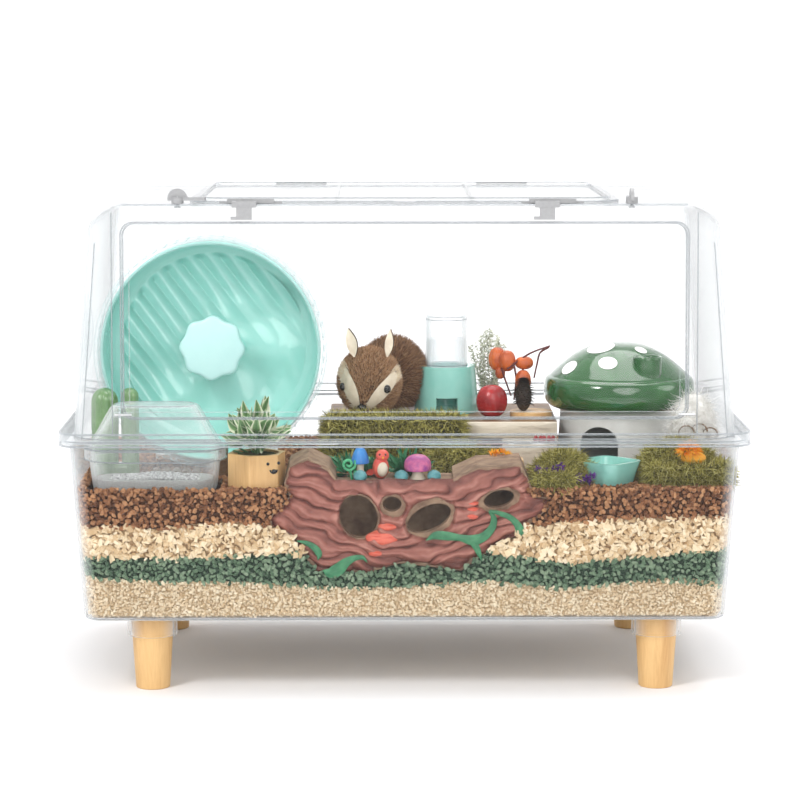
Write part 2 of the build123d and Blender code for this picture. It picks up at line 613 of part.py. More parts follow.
with BuildPart() as log_envelope:
    with BuildSketch(TUB_PANE.offset(4 * WALL)):
        with BuildLine():
            Polyline(*LOG_OUTLINE, close=True)
        make_face()
        offset(amount=1.0, kind=Kind.INTERSECTION)
    extrude(amount=-(LOG_DEPTH + LOG_SETBACK + 1.0 + 4 * WALL))

# x, height above the tub's underside, half width and thickness of each shelf fungus
LOG_FUNGI = ((-21, 112, 12, 5), (-29, 98, 18, 6), (-36, 80, 10, 5), (76, 124, 7, 4), (84, 134, 6, 4))
with BuildPart() as log_fungi:
    for fungus_x, fungus_z, half, thick in LOG_FUNGI:
        shelf = Plane(
            origin=LOG_FACE.from_local_coords(Vector(fungus_x, fungus_z, 0)),
            x_dir=(1, 0, 0),
            z_dir=LOG_FACE.y_dir,
        )
        with BuildSketch(shelf):
            Ellipse(half, LOG_SETBACK - 1.5)
            with Locations((0, -half)):
                Rectangle(2 * half, 2 * half, mode=Mode.INTERSECT)
        extrude(amount=thick)
save(log_fungi, "log_fungi")

LOG_BACK_Z = LOG_SEAT_Z + FIT
# x, place across the log, radius, underside and top of each mushroom cap
LOG_CAPS = ((-52, -8, 10, 17.7, 35.7), (15, -12, 16, 9.7, 28.7))
with BuildPart() as log_mushrooms:
    for cap_x, cap_y, cap_radius, cap_low, cap_high in LOG_CAPS:
        add(dome(cap_x, LOG_BACK_Y + cap_y, LOG_BACK_Z + cap_low, LOG_BACK_Z + cap_low,
                 LOG_BACK_Z + cap_high, cap_radius))
        with BuildSketch(level(cap_x, LOG_BACK_Y + cap_y, LOG_BACK_Z)):
            Circle(cap_radius * 0.4)
        extrude(amount=cap_low + 1)
save(log_mushrooms, "log_mushrooms")

with BuildPart() as log_stones:
    for stone_x in (-52, -4, 34):
        add(dome(stone_x, LOG_BACK_Y - 24, LOG_BACK_Z, LOG_BACK_Z + 5, LOG_BACK_Z + 12, 8))
save(log_stones, "log_stones")

with BuildPart() as log_greens:
    add(dome(-66, LOG_BACK_Y + 14, LOG_BACK_Z, LOG_BACK_Z + 12, LOG_BACK_Z + 30, 13))
    add(dome(2, LOG_BACK_Y + 17, LOG_BACK_Z, LOG_BACK_Z + 14, LOG_BACK_Z + 34, 12))
save(log_greens, "log_greens")

with BuildPart() as log_bird:
    add(dome(-28, LOG_BACK_Y - 8, LOG_BACK_Z, LOG_BACK_Z + 12, LOG_BACK_Z + 36, 11))
save(log_bird, "log_bird")


# --- Bedding layers ------------------------------------------------------------------------------
def bedding_line(heights, lift):
    """Points of one wavy boundary, from the left end to the right."""
    start = -BED_STEP * (len(heights) - 1) / 2
    points = []
    for index, height in enumerate(heights):
        points.append((start + BED_STEP * index, LEG_HEIGHT + height + lift))
    return points


def bedding_layer(lower, upper, floor, roof):
    """The slab of the tub's inside between two boundaries, clear of the log."""
    inset = WALL + FIT
    block = tapered_block(floor, tub_size(floor, inset), roof, tub_size(roof, inset),
                          TUB_CORNER - inset, TUB_FOOT_ROUND - WALL)
    far = lower[-1][0] + BED_STEP
    with BuildPart() as slab:
        with BuildSketch(Plane.XZ):
            with BuildLine():
                Polyline((-far, lower[0][1]), lower[0])
                Spline(*lower)
                Polyline(lower[-1], (far, lower[-1][1]), (far, upper[-1][1]), upper[-1])
                Spline(*reversed(upper))
                Polyline(upper[0], (-far, upper[0][1]), (-far, lower[0][1]))
            make_face()
        extrude(amount=RIM_DEPTH, both=True)
        add(block, mode=Mode.INTERSECT)
        add(log_envelope.part, mode=Mode.SUBTRACT)
    return slab


BED_ENDS = (-4 * BED_STEP, 0, 4 * BED_STEP)
FLOOR_BED = FLOOR_Z + FIT

bedding_fine = bedding_layer(
    [(x, FLOOR_BED - 5 - 0.01 * (x == 0)) for x in BED_ENDS], bedding_line(FINE_TOP, -FIT), FLOOR_BED, BED_Z)
save(bedding_fine, "bedding_fine")
bedding_green = bedding_layer(
    bedding_line(FINE_TOP, 0), bedding_line(GREEN_TOP, -FIT), FLOOR_BED, BED_Z)
save(bedding_green, "bedding_green")
bedding_chips = bedding_layer(
    bedding_line(GREEN_TOP, 0), bedding_line(CHIPS_TOP, -FIT), FLOOR_BED, BED_Z)
save(bedding_chips, "bedding_chips")

BATH_X, BATH_Y = BATH_PLACE
BATH_Z = BED_Z - BATH_SUNK
BATH_RIM_Z = BATH_Z + BATH_HEIGHT
BATH_RIM = 14.0
POCKET_GAP = 1.0
BATH_BODY = (BATH[0] - 10, BATH[1] - 10)
BATH_FOOT = (BATH[0] - 22, BATH[1] - 22)
BATH_BEND = 30.0

bedding_pellets = bedding_layer(
    bedding_line(CHIPS_TOP, 0), [(x, BED_Z + 5 + 0.01 * (x == 0)) for x in BED_ENDS], FLOOR_BED, BED_Z)
with BuildPart() as bedding_top:
    add(bedding_pellets.part)
    with BuildSketch(level(BATH_X, BATH_Y, BATH_Z - POCKET_GAP * 0.3)):
        RectangleRounded(BATH[0] - 6, BATH[1] - 6, BATH[2] - 4)
    extrude(amount=2 * BATH_SUNK, mode=Mode.SUBTRACT)
save(bedding_top, "bedding_pellets")


# --- Exercise wheel ------------------------------------------------------------------------------
def spun(points):
    """A piece turned about the wheel's own axis, from a closed outline of (radius, y)."""
    with BuildPart() as piece:
        with BuildSketch(level(WHEEL_X, 0, WHEEL_Z)):
            with BuildLine():
                Polyline(*points, close=True)
            make_face()
        revolve(axis=Axis((WHEEL_X, 0, WHEEL_Z), (0, 1, 0)))
    return piece


def wheel_disc_plane(y):
    """An upright plane facing the back at depth y, centred on the wheel's axis."""
    return Plane(origin=(WHEEL_X, y, WHEEL_Z), x_dir=(-1, 0, 0), z_dir=(0, 1, 0))


HUB_FRONT = WHEEL_BACK - HUB_LENGTH
BORE = BEARING_RADIUS + RUN
SIDE_BEND = 21.0
wheel_bowl = spun((
    (BORE, WHEEL_BACK), (WHEEL_BOWL_RADIUS - SIDE_BEND, WHEEL_BACK),
    (WHEEL_BOWL_RADIUS - 5, WHEEL_BACK - SIDE_BEND + 6), (WHEEL_BOWL_RADIUS, WHEEL_BACK - SIDE_BEND - 10),
    (WHEEL_BOWL_RADIUS, WHEEL_FRONT + 4), (WHEEL_BOWL_RADIUS - WHEEL_WALL, WHEEL_FRONT + 4),
    (WHEEL_BOWL_RADIUS - WHEEL_WALL, WHEEL_BACK - SIDE_BEND - 10),
    (WHEEL_BOWL_RADIUS - 5 - WHEEL_WALL, WHEEL_BACK - SIDE_BEND + 4),
    (WHEEL_BOWL_RADIUS - SIDE_BEND - 2, WHEEL_BACK - WHEEL_WALL), (HUB_RADIUS, WHEEL_BACK - WHEEL_WALL),
    (HUB_RADIUS, HUB_FRONT), (BORE, HUB_FRONT),
))
save(wheel_bowl, "wheel_bowl")

RING_IN = WHEEL_BOWL_RADIUS + FIT
wheel_ring = spun((
    (RING_IN - 4, WHEEL_FRONT), (WHEEL_RADIUS, WHEEL_FRONT), (WHEEL_RADIUS, WHEEL_FRONT + 3),
    (RING_IN + 3, WHEEL_FRONT + 3), (RING_IN + 3, WHEEL_BACK - 12), (WHEEL_RADIUS, WHEEL_BACK - 12),
    (WHEEL_RADIUS, WHEEL_BACK - 9), (RING_IN, WHEEL_BACK - 9), (RING_IN, WHEEL_FRONT + 3),
    (RING_IN - 4, WHEEL_FRONT + 3),
))
save(wheel_ring, "wheel_ring")

with BuildPart() as wheel_bearings:
    for bearing_y in (HUB_FRONT + 6, WHEEL_BACK - BEARING_WIDTH - 1):
        with BuildSketch(wheel_disc_plane(bearing_y)):
            Circle(BEARING_RADIUS)
            Circle(AXLE_RADIUS + RUN, mode=Mode.SUBTRACT)
        extrude(amount=BEARING_WIDTH)
save(wheel_bearings, "wheel_bearings")

with BuildPart() as wheel_hub_cap:
    with BuildSketch(wheel_disc_plane(HUB_FRONT - CAP_THICK)):
        Circle(CAP_RADIUS * 0.8)
        with PolarLocations(CAP_RADIUS * 0.7, CAP_LOBES):
            Circle(CAP_RADIUS * 0.3)
    extrude(amount=CAP_THICK)
    fillet(wheel_hub_cap.edges().group_by(Axis.Y)[0], radius=2.0)
save(wheel_hub_cap, "wheel_hub_cap")

STAND_FRONT = WHEEL_BACK + STAND_GAP
STAND_BACK = STAND_FRONT + STAND_THICK
AXLE_FRONT = HUB_FRONT + 1.5
with BuildPart() as wheel_axle:
    with BuildSketch(wheel_disc_plane(AXLE_FRONT)):
        Circle(AXLE_RADIUS + 2)
    extrude(amount=3.0)
    with BuildSketch(wheel_disc_plane(AXLE_FRONT)):
        Circle(AXLE_RADIUS)
    extrude(amount=STAND_BACK - AXLE_FRONT)
save(wheel_axle, "wheel_axle")

STAND_BASE = 6.0
with BuildPart() as wheel_stand:
    with BuildSketch(Plane.XZ.offset(-STAND_FRONT)):
        with Locations((WHEEL_X, WHEEL_Z)):
            Circle(22)
        Polygon((WHEEL_X - 22, WHEEL_Z), (WHEEL_X + 22, WHEEL_Z), (WHEEL_X + 55, STAND_Z),
                (WHEEL_X - 55, STAND_Z), align=None)
        with Locations((WHEEL_X, WHEEL_Z)):
            Circle(AXLE_RADIUS + RUN, mode=Mode.SUBTRACT)
    extrude(amount=-STAND_THICK)
    with BuildSketch(level(WHEEL_X, STAND_FRONT + 32, STAND_Z)):
        RectangleRounded(150, 64, 12)
    extrude(amount=STAND_BASE)
save(wheel_stand, "wheel_stand")

# --- Sand bath -----------------------------------------------------------------------------------
bath_body = tapered_block(BATH_Z, BATH_FOOT, BATH_RIM_Z, BATH_BODY, BATH_BEND, 12.0, BATH_PLACE)
bath_room = tapered_block(BATH_Z + BATH_WALL, tuple(side - 2 * BATH_WALL for side in BATH_FOOT),
                          BATH_RIM_Z + BATH_WALL, tuple(side - 2 * BATH_WALL for side in BATH_BODY),
                          BATH_BEND - BATH_WALL, 10.0, BATH_PLACE)
with BuildPart() as sand_bath_tray:
    with BuildSketch(level(*BATH_PLACE, BATH_RIM_Z - BATH_RIM)):
        RectangleRounded(*BATH)
    extrude(amount=BATH_RIM)
    fillet(sand_bath_tray.edges().group_by(Axis.Z)[0], radius=2.5)
    add(bath_body)
    add(bath_room, mode=Mode.SUBTRACT)
save(sand_bath_tray, "sand_bath_tray")

HOOD_Z = BATH_RIM_Z + FIT
HOOD_TOP = (BATH_BODY[0] - 56, BATH_BODY[1] - 26)
hood_room = tapered_block(HOOD_Z - FIT, tuple(side - 2 * BATH_WALL for side in BATH_BODY),
                          HOOD_Z + BATH_HOOD - BATH_WALL, tuple(side - 2 * BATH_WALL for side in HOOD_TOP),
                          BATH_BEND - 12, 0, BATH_PLACE)
with BuildPart() as sand_bath_hood:
    add(tapered_block(HOOD_Z, BATH_BODY, HOOD_Z + BATH_HOOD, HOOD_TOP, BATH_BEND - 10, 0,
                      BATH_PLACE))
    fillet(sand_bath_hood.edges().group_by(Axis.Z)[-1], radius=10.0)
    add(hood_room, mode=Mode.SUBTRACT)
    with BuildSketch(Plane.YZ.offset(BATH_X)):
        with Locations((BATH_Y, HOOD_Z + 20)):
            Circle(16)
    extrude(amount=BATH[0], mode=Mode.SUBTRACT)
save(sand_bath_hood, "sand_bath_hood")

SAND_INSET = 2 * (BATH_WALL + 2.0)
with BuildPart() as bath_sand:
    add(tapered_block(BATH_Z + BATH_WALL + FIT, tuple(side - SAND_INSET - 4 for side in BATH_FOOT),
                      BATH_Z + BATH_WALL + SAND_DEPTH, tuple(side - SAND_INSET for side in BATH_FOOT),
                      BATH_BEND - 8, 9.0, BATH_PLACE))
save(bath_sand, "bath_sand")

# --- Cactus, sticks and planter -------------------------------------------------------------------
CACTUS_Y = -103.0
CACTUS_TOP = STAND_Z + 105.0
CACTUS_LOBES = ((-357.0, 16.0), (-327.0, 10.5))
with BuildPart() as cactus_house:
    for lobe_x, lobe_radius in CACTUS_LOBES:
        add(dome(lobe_x, CACTUS_Y, CACTUS_TOP - 2 * lobe_radius, CACTUS_TOP - lobe_radius, CACTUS_TOP,
                 lobe_radius))
        with BuildSketch(level(lobe_x, CACTUS_Y, STAND_Z)):
            Circle(lobe_radius)
        extrude(amount=CACTUS_TOP - lobe_radius - STAND_Z)
    with BuildSketch(level(-342.0, CACTUS_Y, STAND_Z)):
        Rectangle(36.0, 16.0)
    extrude(amount=14.0)
save(cactus_house, "cactus_house")

STICK_RADIUS = 6.0
STICKS = 5
with BuildPart() as stick_bridge:
    with BuildSketch(Plane.XZ.offset(-(CACTUS_Y - 12))):
        with Locations(*[(-297 + 2 * STICK_RADIUS * step, STAND_Z) for step in range(STICKS)]):
            Circle(STICK_RADIUS)
        with Locations((-273, STAND_Z + STICK_RADIUS)):
            Rectangle(12 * STICK_RADIUS, 2 * STICK_RADIUS, mode=Mode.INTERSECT)
    extrude(amount=-28)
    with BuildSketch(level(-216, CACTUS_Y, STAND_Z)):
        RectangleRounded(11, 20, 2)
    extrude(amount=36)
save(stick_bridge, "stick_bridge")

POT_X, POT_Y = POT_PLACE
POT_WALL = 4.0
with BuildPart() as planter_pot:
    with BuildSketch(level(POT_X, POT_Y, STAND_Z)):
        RegularPolygon(POT_RADIUS, 6, rotation=18)
    extrude(amount=POT_HEIGHT)
    fillet(planter_pot.edges().filter_by(Axis.Z), radius=3.0)
    with BuildSketch(level(POT_X, POT_Y, STAND_Z + POT_HEIGHT - SOIL_DEPTH)):
        Circle(POT_RADIUS * 0.866 - POT_WALL)
    extrude(amount=SOIL_DEPTH, mode=Mode.SUBTRACT)
save(planter_pot, "planter_pot")

POT_TOP = STAND_Z + POT_HEIGHT
with BuildPart() as planter_plant:
    add(dome_on(POT_TOP, POT_X, POT_Y, *PLANT))
    with BuildSketch(level(POT_X, POT_Y, POT_TOP - SOIL_DEPTH + FIT)):
        Circle(POT_RADIUS * 0.866 - POT_WALL - 2)
    extrude(amount=SOIL_DEPTH + 8)
save(planter_plant, "planter_plant")

# --- Platform and what stands on it ---------------------------------------------------------------
LEFT, RIGHT, FRONT, BACK = PLATFORM
DECK_X = (LEFT + RIGHT) / 2
DECK_Y = (FRONT + BACK) / 2
DECK = (RIGHT - LEFT, BACK - FRONT)
HATCH_X = 96.0
HATCH = (42.0, 36.0)
with BuildPart() as platform_house:
    with BuildSketch(level(DECK_X, DECK_Y, STAND_Z)):
        RectangleRounded(*DECK, 4)
    extrude(amount=PLATFORM_HEIGHT)
    with BuildSketch(level(DECK_X, DECK_Y, STAND_Z)):
        Rectangle(DECK[0] - 2 * BOARD, DECK[1] - 2 * BOARD)
    extrude(amount=PLATFORM_HEIGHT - BOARD, mode=Mode.SUBTRACT)
    with BuildSketch(Plane.XZ.offset(-FRONT + BOARD)):
        with Locations((HATCH_X, STAND_Z + HATCH[1] / 2)):
            Rectangle(HATCH[0], HATCH[1])
    extrude(amount=-3 * BOARD, mode=Mode.SUBTRACT)
save(platform_house, "platform_house")

MOSS_DEEP = 24.0
with BuildPart() as platform_moss:
    with BuildSketch(level(-12, FRONT - FIT - MOSS_DEEP / 2, STAND_Z)):
        RectangleRounded(158, MOSS_DEEP, 9)
    extrude(amount=PLATFORM_HEIGHT + 7)
    fillet(platform_moss.edges().group_by(Axis.Z)[-1], radius=6.0)
save(platform_moss, "platform_moss")

with BuildPart() as hedgehog_figure:
    add(dome_on(DECK_Z, *HEDGEHOG_HEAD))
    add(dome_on(DECK_Z, *HEDGEHOG_BACK))
save(hedgehog_figure, "hedgehog_figure")

BASE_X, BASE_Y = BOTTLE_PLACE
SOCKET_R = BOTTLE_RADIUS + 0.7
NECK_R = BOTTLE_NECK_RADIUS + 1.5
BASE_TOP = DECK_Z + BASE_HEIGHT
BODY_Z = BASE_TOP - 12.0
NECK_Z = DECK_Z + 15.0
with BuildPart() as bottle_base:
    add(turned(BASE_X, BASE_Y, (
        (0, DECK_Z), (BASE_RADIUS, DECK_Z), (BASE_RADIUS - 1, DECK_Z + 20), (BASE_RADIUS - 4, BASE_TOP),
        (SOCKET_R, BASE_TOP), (SOCKET_R, BODY_Z - 1), (NECK_R, BODY_Z - 10), (NECK_R, DECK_Z + 5),
        (0, DECK_Z + 5))))
    with BuildSketch(level(BASE_X, BASE_Y - BASE_RADIUS / 2, DECK_Z + 5)):
        Rectangle(26, BASE_RADIUS + 4)
    extrude(amount=15, mode=Mode.SUBTRACT)
save(bottle_base, "bottle_base")

BOTTLE_TOP = BODY_Z + BOTTLE_BODY
INSIDE = BOTTLE_RADIUS - BOTTLE_GLASS
NECK_INSIDE = BOTTLE_NECK_RADIUS - BOTTLE_GLASS
with BuildPart() as water_bottle:
    add(turned(BASE_X, BASE_Y, (
        (NECK_INSIDE, NECK_Z), (BOTTLE_NECK_RADIUS, NECK_Z), (BOTTLE_NECK_RADIUS, BODY_Z - 9),
        (BOTTLE_RADIUS, BODY_Z), (BOTTLE_RADIUS, BOTTLE_TOP - 2), (BOTTLE_RADIUS - 2, BOTTLE_TOP),
        (0, BOTTLE_TOP), (0, BOTTLE_TOP - BOTTLE_GLASS), (INSIDE, BOTTLE_TOP - BOTTLE_GLASS),
        (INSIDE, BODY_Z + 1), (NECK_INSIDE, BODY_Z - 8))))
save(water_bottle, "water_bottle")

WATER = 45.0
with BuildPart() as bottle_water:
    add(turned(BASE_X, BASE_Y, (
        (0, NECK_Z + 1), (NECK_INSIDE - FIT, NECK_Z + 1), (NECK_INSIDE - FIT, BODY_Z - 8 + FIT),
        (INSIDE - FIT, BODY_Z + 1 + FIT), (INSIDE - FIT, BODY_Z + WATER), (0, BODY_Z + WATER))))
save(bottle_water, "bottle_water")

with BuildPart() as lichen_bush:
    add(dome_on(DECK_Z, *LICHEN))
save(lichen_bush, "lichen_bush")

with BuildPart() as dried_pods:
    add(dome_on(DECK_Z, *POD_BUNCH))
    with BuildSketch(level(POD_BUNCH[0], POD_BUNCH[1], DECK_Z)):
        Circle(POD_STEM)
    extrude(amount=60)
    add(dome_on(DECK_Z, *RED_POD))
save(dried_pods, "dried_pods")

SLICE_X, SLICE_Y = 157.0, -15.0
SLICE_THICK = 7.0
SLICE_RADIUS = 26.0
with BuildPart() as wood_slice:
    with BuildSketch(level(SLICE_X, SLICE_Y, DECK_Z)):
        Circle(SLICE_RADIUS)
    extrude(amount=SLICE_THICK)
save(wood_slice, "wood_slice")

with BuildPart() as pinecone:
    cone_z = DECK_Z + SLICE_THICK + FIT
    add(dome(SLICE_X - 6, SLICE_Y, cone_z, cone_z + 16, cone_z + 42, 17))
save(pinecone, "pinecone")

# --- Mushroom house ------------------------------------------------------------------------------
HOUSE_X, HOUSE_Y = HOUSE_PLACE
HOUSE_TOP = STAND_Z + HOUSE_HEIGHT
DOOR_WAY = (44.0, 46.0)
with BuildPart() as mushroom_house:
    add(turned(HOUSE_X, HOUSE_Y, (
        (0, STAND_Z), (HOUSE_RADIUS, STAND_Z), (HOUSE_RADIUS - 4, HOUSE_TOP),
        (HOUSE_RADIUS - 4 - HOUSE_WALL, HOUSE_TOP), (HOUSE_RADIUS - HOUSE_WALL, STAND_Z + HOUSE_WALL),
        (0, STAND_Z + HOUSE_WALL))))
    with BuildSketch(Plane.XZ.offset(-HOUSE_Y)):
        with Locations((HOUSE_X - 29, STAND_Z + HOUSE_WALL + 12)):
            Rectangle(DOOR_WAY[0], 24)
        with Locations((HOUSE_X - 29, STAND_Z + HOUSE_WALL + 24)):
            Circle(DOOR_WAY[0] / 2)
    extrude(amount=HOUSE_RADIUS + 10, mode=Mode.SUBTRACT)
save(mushroom_house, "mushroom_house")

CAP_Z = HOUSE_TOP + FIT
CAP_IN = HOUSE_RADIUS - 12
with BuildPart() as mushroom_roof:
    add(turned(HOUSE_X, HOUSE_Y, (
        (CAP_IN, CAP_Z), (ROOF_RADIUS - 6, CAP_Z), (ROOF_RADIUS - 1, CAP_Z + 7),
        (ROOF_RADIUS, CAP_Z + 16), (ROOF_RADIUS - 3, CAP_Z + 27), (ROOF_RADIUS - 10, CAP_Z + ROOF_BAND - 3),
        (ROOF_RADIUS - 16, CAP_Z + ROOF_BAND), (62, CAP_Z + 54), (42, CAP_Z + 68), (20, CAP_Z + ROOF_HEIGHT - 3),
        (0, CAP_Z + ROOF_HEIGHT), (0, CAP_Z + 66), (30, CAP_Z + 58), (50, CAP_Z + 40), (CAP_IN, CAP_Z + 22))))
    with BuildSketch(level(HOUSE_X + 36, HOUSE_Y - 12, CAP_Z + 52)):
        Circle(16)
    extrude(amount=20)
save(mushroom_roof, "mushroom_roof")

# --- Food bowl, moss, nest and small pieces on the bedding ----------------------------------------
BOWL_X, BOWL_Y = BOWL_PLACE
BOWL_WALL = 3.5
with BuildPart() as food_bowl:
    with BuildSketch(level(BOWL_X, BOWL_Y, STAND_Z)):
        RectangleRounded(BOWL_SIDE - 12, BOWL_SIDE - 12, 14, rotation=45)
    with BuildSketch(level(BOWL_X, BOWL_Y, STAND_Z + BOWL_HEIGHT)):
        RectangleRounded(BOWL_SIDE, BOWL_SIDE, 14, rotation=45)
    loft()
    with BuildSketch(level(BOWL_X, BOWL_Y, STAND_Z + BOWL_WALL)):
        RectangleRounded(BOWL_SIDE - 12 - 2 * BOWL_WALL, BOWL_SIDE - 12 - 2 * BOWL_WALL, 11, rotation=45)
    with BuildSketch(level(BOWL_X, BOWL_Y, STAND_Z + BOWL_HEIGHT)):
        RectangleRounded(BOWL_SIDE - 2 * BOWL_WALL, BOWL_SIDE - 2 * BOWL_WALL, 11, rotation=45)
    loft(mode=Mode.SUBTRACT)
save(food_bowl, "food_bowl")


def mat(name, x, y, length, depth, height):
    """A low oval clump lying on the bedding, with its upper edge rounded."""
    with BuildPart() as clump:
        with BuildSketch(level(x, y, STAND_Z)):
            Ellipse(length / 2, depth / 2)
        extrude(amount=height)
        fillet(clump.edges().group_by(Axis.Z)[-1], radius=height / 3)
    save(clump, name)


mat("moss_middle", *MOSS_MIDDLE)
mat("moss_right", *MOSS_RIGHT)

with BuildPart() as marigold:
    add(dome_on(STAND_Z + MOSS_RIGHT[-1] + FIT, *MARIGOLD))
save(marigold, "marigold")

with BuildPart() as cotton_nest:
    add(dome_on(STAND_Z, *COTTON))
save(cotton_nest, "cotton_nest")

with BuildPart() as wood_block:
    with BuildSketch(level(*BLOCK_PLACE, STAND_Z)):
        RectangleRounded(*BLOCK[:2], 2)
    extrude(amount=BLOCK[2])
save(wood_block, "wood_block")

with BuildPart() as mineral_stone:
    add(dome_on(STAND_Z, *STONE))
save(mineral_stone, "mineral_stone")
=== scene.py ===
"""Looks for the furnished hamster cage: everything is in metres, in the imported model's own frame."""
from math import atan2, cos, pi, radians, sin, sqrt

import bpy
import numpy as np
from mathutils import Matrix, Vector, noise


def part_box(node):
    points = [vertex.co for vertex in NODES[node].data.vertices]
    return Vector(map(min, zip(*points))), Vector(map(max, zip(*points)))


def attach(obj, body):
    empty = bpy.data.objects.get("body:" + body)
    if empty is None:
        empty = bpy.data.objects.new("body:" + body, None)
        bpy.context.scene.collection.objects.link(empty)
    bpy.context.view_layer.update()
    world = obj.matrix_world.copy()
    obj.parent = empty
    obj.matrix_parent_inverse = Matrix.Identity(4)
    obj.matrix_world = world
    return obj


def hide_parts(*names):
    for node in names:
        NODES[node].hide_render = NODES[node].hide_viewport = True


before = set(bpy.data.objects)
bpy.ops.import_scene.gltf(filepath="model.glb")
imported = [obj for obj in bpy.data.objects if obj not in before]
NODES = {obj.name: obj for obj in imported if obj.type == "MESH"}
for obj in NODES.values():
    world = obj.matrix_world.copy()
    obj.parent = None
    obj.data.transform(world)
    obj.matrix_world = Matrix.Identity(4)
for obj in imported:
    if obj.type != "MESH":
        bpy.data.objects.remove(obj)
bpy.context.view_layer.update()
MM = 0.001


# --- Materials -----------------------------------------------------------------------------------
def add_node(tree, kind, settings=None, inputs=None):
    """Adds one shader node. An input that is a socket is linked, and any other value is set."""
    made = tree.nodes.new(kind)
    for key, value in (settings or {}).items():
        setattr(made, key, value)
    for key, value in (inputs or {}).items():
        if isinstance(value, bpy.types.NodeSocket):
            tree.links.new(value, made.inputs[key])
        else:
            made.inputs[key].default_value = value
    return made


def rgba(colour):
    return (*colour, 1.0)


def ramp(tree, factor, stops):
    """A colour ramp with the given (position, colour) stops."""
    made = add_node(tree, "ShaderNodeValToRGB", inputs={"Fac": factor})
    elements = made.color_ramp.elements
    while len(elements) < len(stops):
        elements.new(0.5)
    for element, (place, colour) in zip(elements, stops):
        element.position = place
        element.color = rgba(colour)
    return made.outputs["Color"]


def mix(tree, factor, first, second, blend="MIX"):
    made = add_node(tree, "ShaderNodeMix", {"data_type": "RGBA", "blend_type": blend})
    for index, value in ((0, factor), (6, first), (7, second)):
        if isinstance(value, bpy.types.NodeSocket):
            tree.links.new(value, made.inputs[index])
        else:
            made.inputs[index].default_value = value
    return made.outputs[2]


def new_material(name, roughness=0.5, **sockets):
    """A material with its Principled shader's own sockets set, its tree and that shader."""
    made = bpy.data.materials.new(name)
    made.use_nodes = True
    shader = made.node_tree.nodes["Principled BSDF"]
    shader.inputs["Roughness"].default_value = roughness
    for key, value in sockets.items():
        shader.inputs[key.replace("_", " ")].default_value = value
    return made, made.node_tree, shader


def place_on(tree, stretch=(1, 1, 1)):
    """Object coordinates, stretched, so that a grain or speckle has its real size."""
    where = add_node(tree, "ShaderNodeTexCoord")
    scaled = add_node(tree, "ShaderNodeMapping", inputs={"Vector": where.outputs["Object"], "Scale": stretch})
    return scaled.outputs["Vector"]


def noise_on(tree, scale, detail=4.0, stretch=(1, 1, 1), roughness=0.55):
    made = add_node(tree, "ShaderNodeTexNoise", inputs={
        "Vector": place_on(tree, stretch), "Scale": scale, "Detail": detail, "Roughness": roughness})
    return made.outputs["Fac"]


def bump(tree, shader, height, distance, strength=1.0):
    made = add_node(tree, "ShaderNodeBump", inputs={
        "Height": height, "Distance": distance, "Strength": strength})
    tree.links.new(made.outputs["Normal"], shader.inputs["Normal"])


def mottled(name, stops, scale, roughness=0.6, relief=0.0, relief_scale=None, stretch=(1, 1, 1),
            islands=0.0, **sockets):
    """A material whose colour wanders along a ramp by noise, and by piece where islands is over 0."""
    made, tree, shader = new_material(name, roughness, **sockets)
    factor = noise_on(tree, scale, stretch=stretch)
    if islands:
        piece = add_node(tree, "ShaderNodeNewGeometry").outputs["Random Per Island"]
        factor = mix(tree, islands, factor, piece)
    tree.links.new(ramp(tree, factor, stops), shader.inputs["Base Color"])
    if relief:
        bump(tree, shader, noise_on(tree, relief_scale or 3 * scale, stretch=stretch), relief)
    return made


def clear(name, tint, face, edge, roughness=0.04):
    """Clear plastic or glass: see-through face on, and denser where the surface turns away."""
    made, tree, shader = new_material(name, roughness, IOR=1.49)
    facing = add_node(tree, "ShaderNodeLayerWeight", inputs={"Blend": 0.28}).outputs["Facing"]
    density = add_node(tree, "ShaderNodeMapRange", inputs={
        "Value": facing, "From Min": 0.05, "From Max": 1.0, "To Min": face, "To Max": edge})
    haze = add_node(tree, "ShaderNodeMath", {"operation": "MULTIPLY"}, {
        0: density.outputs["Result"], 1: add_node(tree, "ShaderNodeMapRange", inputs={
            "Value": noise_on(tree, 6.0), "To Min": 0.9, "To Max": 1.1}).outputs["Result"]})
    tree.links.new(haze.outputs[0], shader.inputs["Alpha"])
    # Where the surface turns away the colour darkens to a third, then a sixth of the tint: painted shade for the
    # dark lines along thick clear plastic.
    tree.links.new(ramp(tree, facing, ((0.0, tint), (0.62, tint), (0.80, tuple(0.34 * part for part in tint)),
                                (1.0, tuple(0.16 * part for part in tint)))),
                   shader.inputs["Base Color"])
    return made


def grained(name, pale, dark, along, scale=60.0, roughness=0.45):
    """Wood with its grain drawn out along one axis."""
    made, tree, shader = new_material(name, roughness)
    stretch = [1.0, 1.0, 1.0]
    stretch["xyz".index(along)] = 0.06
    rings = noise_on(tree, scale, 6.0, stretch, 0.65)
    pores = noise_on(tree, scale * 9, 3.0, stretch, 0.6)
    colour = ramp(tree, rings, ((0.30, dark), (0.52, pale), (0.75, tuple(0.93 * part for part in pale))))
    tree.links.new(mix(tree, 0.25, colour, ramp(tree, pores, ((0.35, dark), (0.6, pale)))),
                   shader.inputs["Base Color"])
    bump(tree, shader, pores, 0.0004, 0.4)
    return made


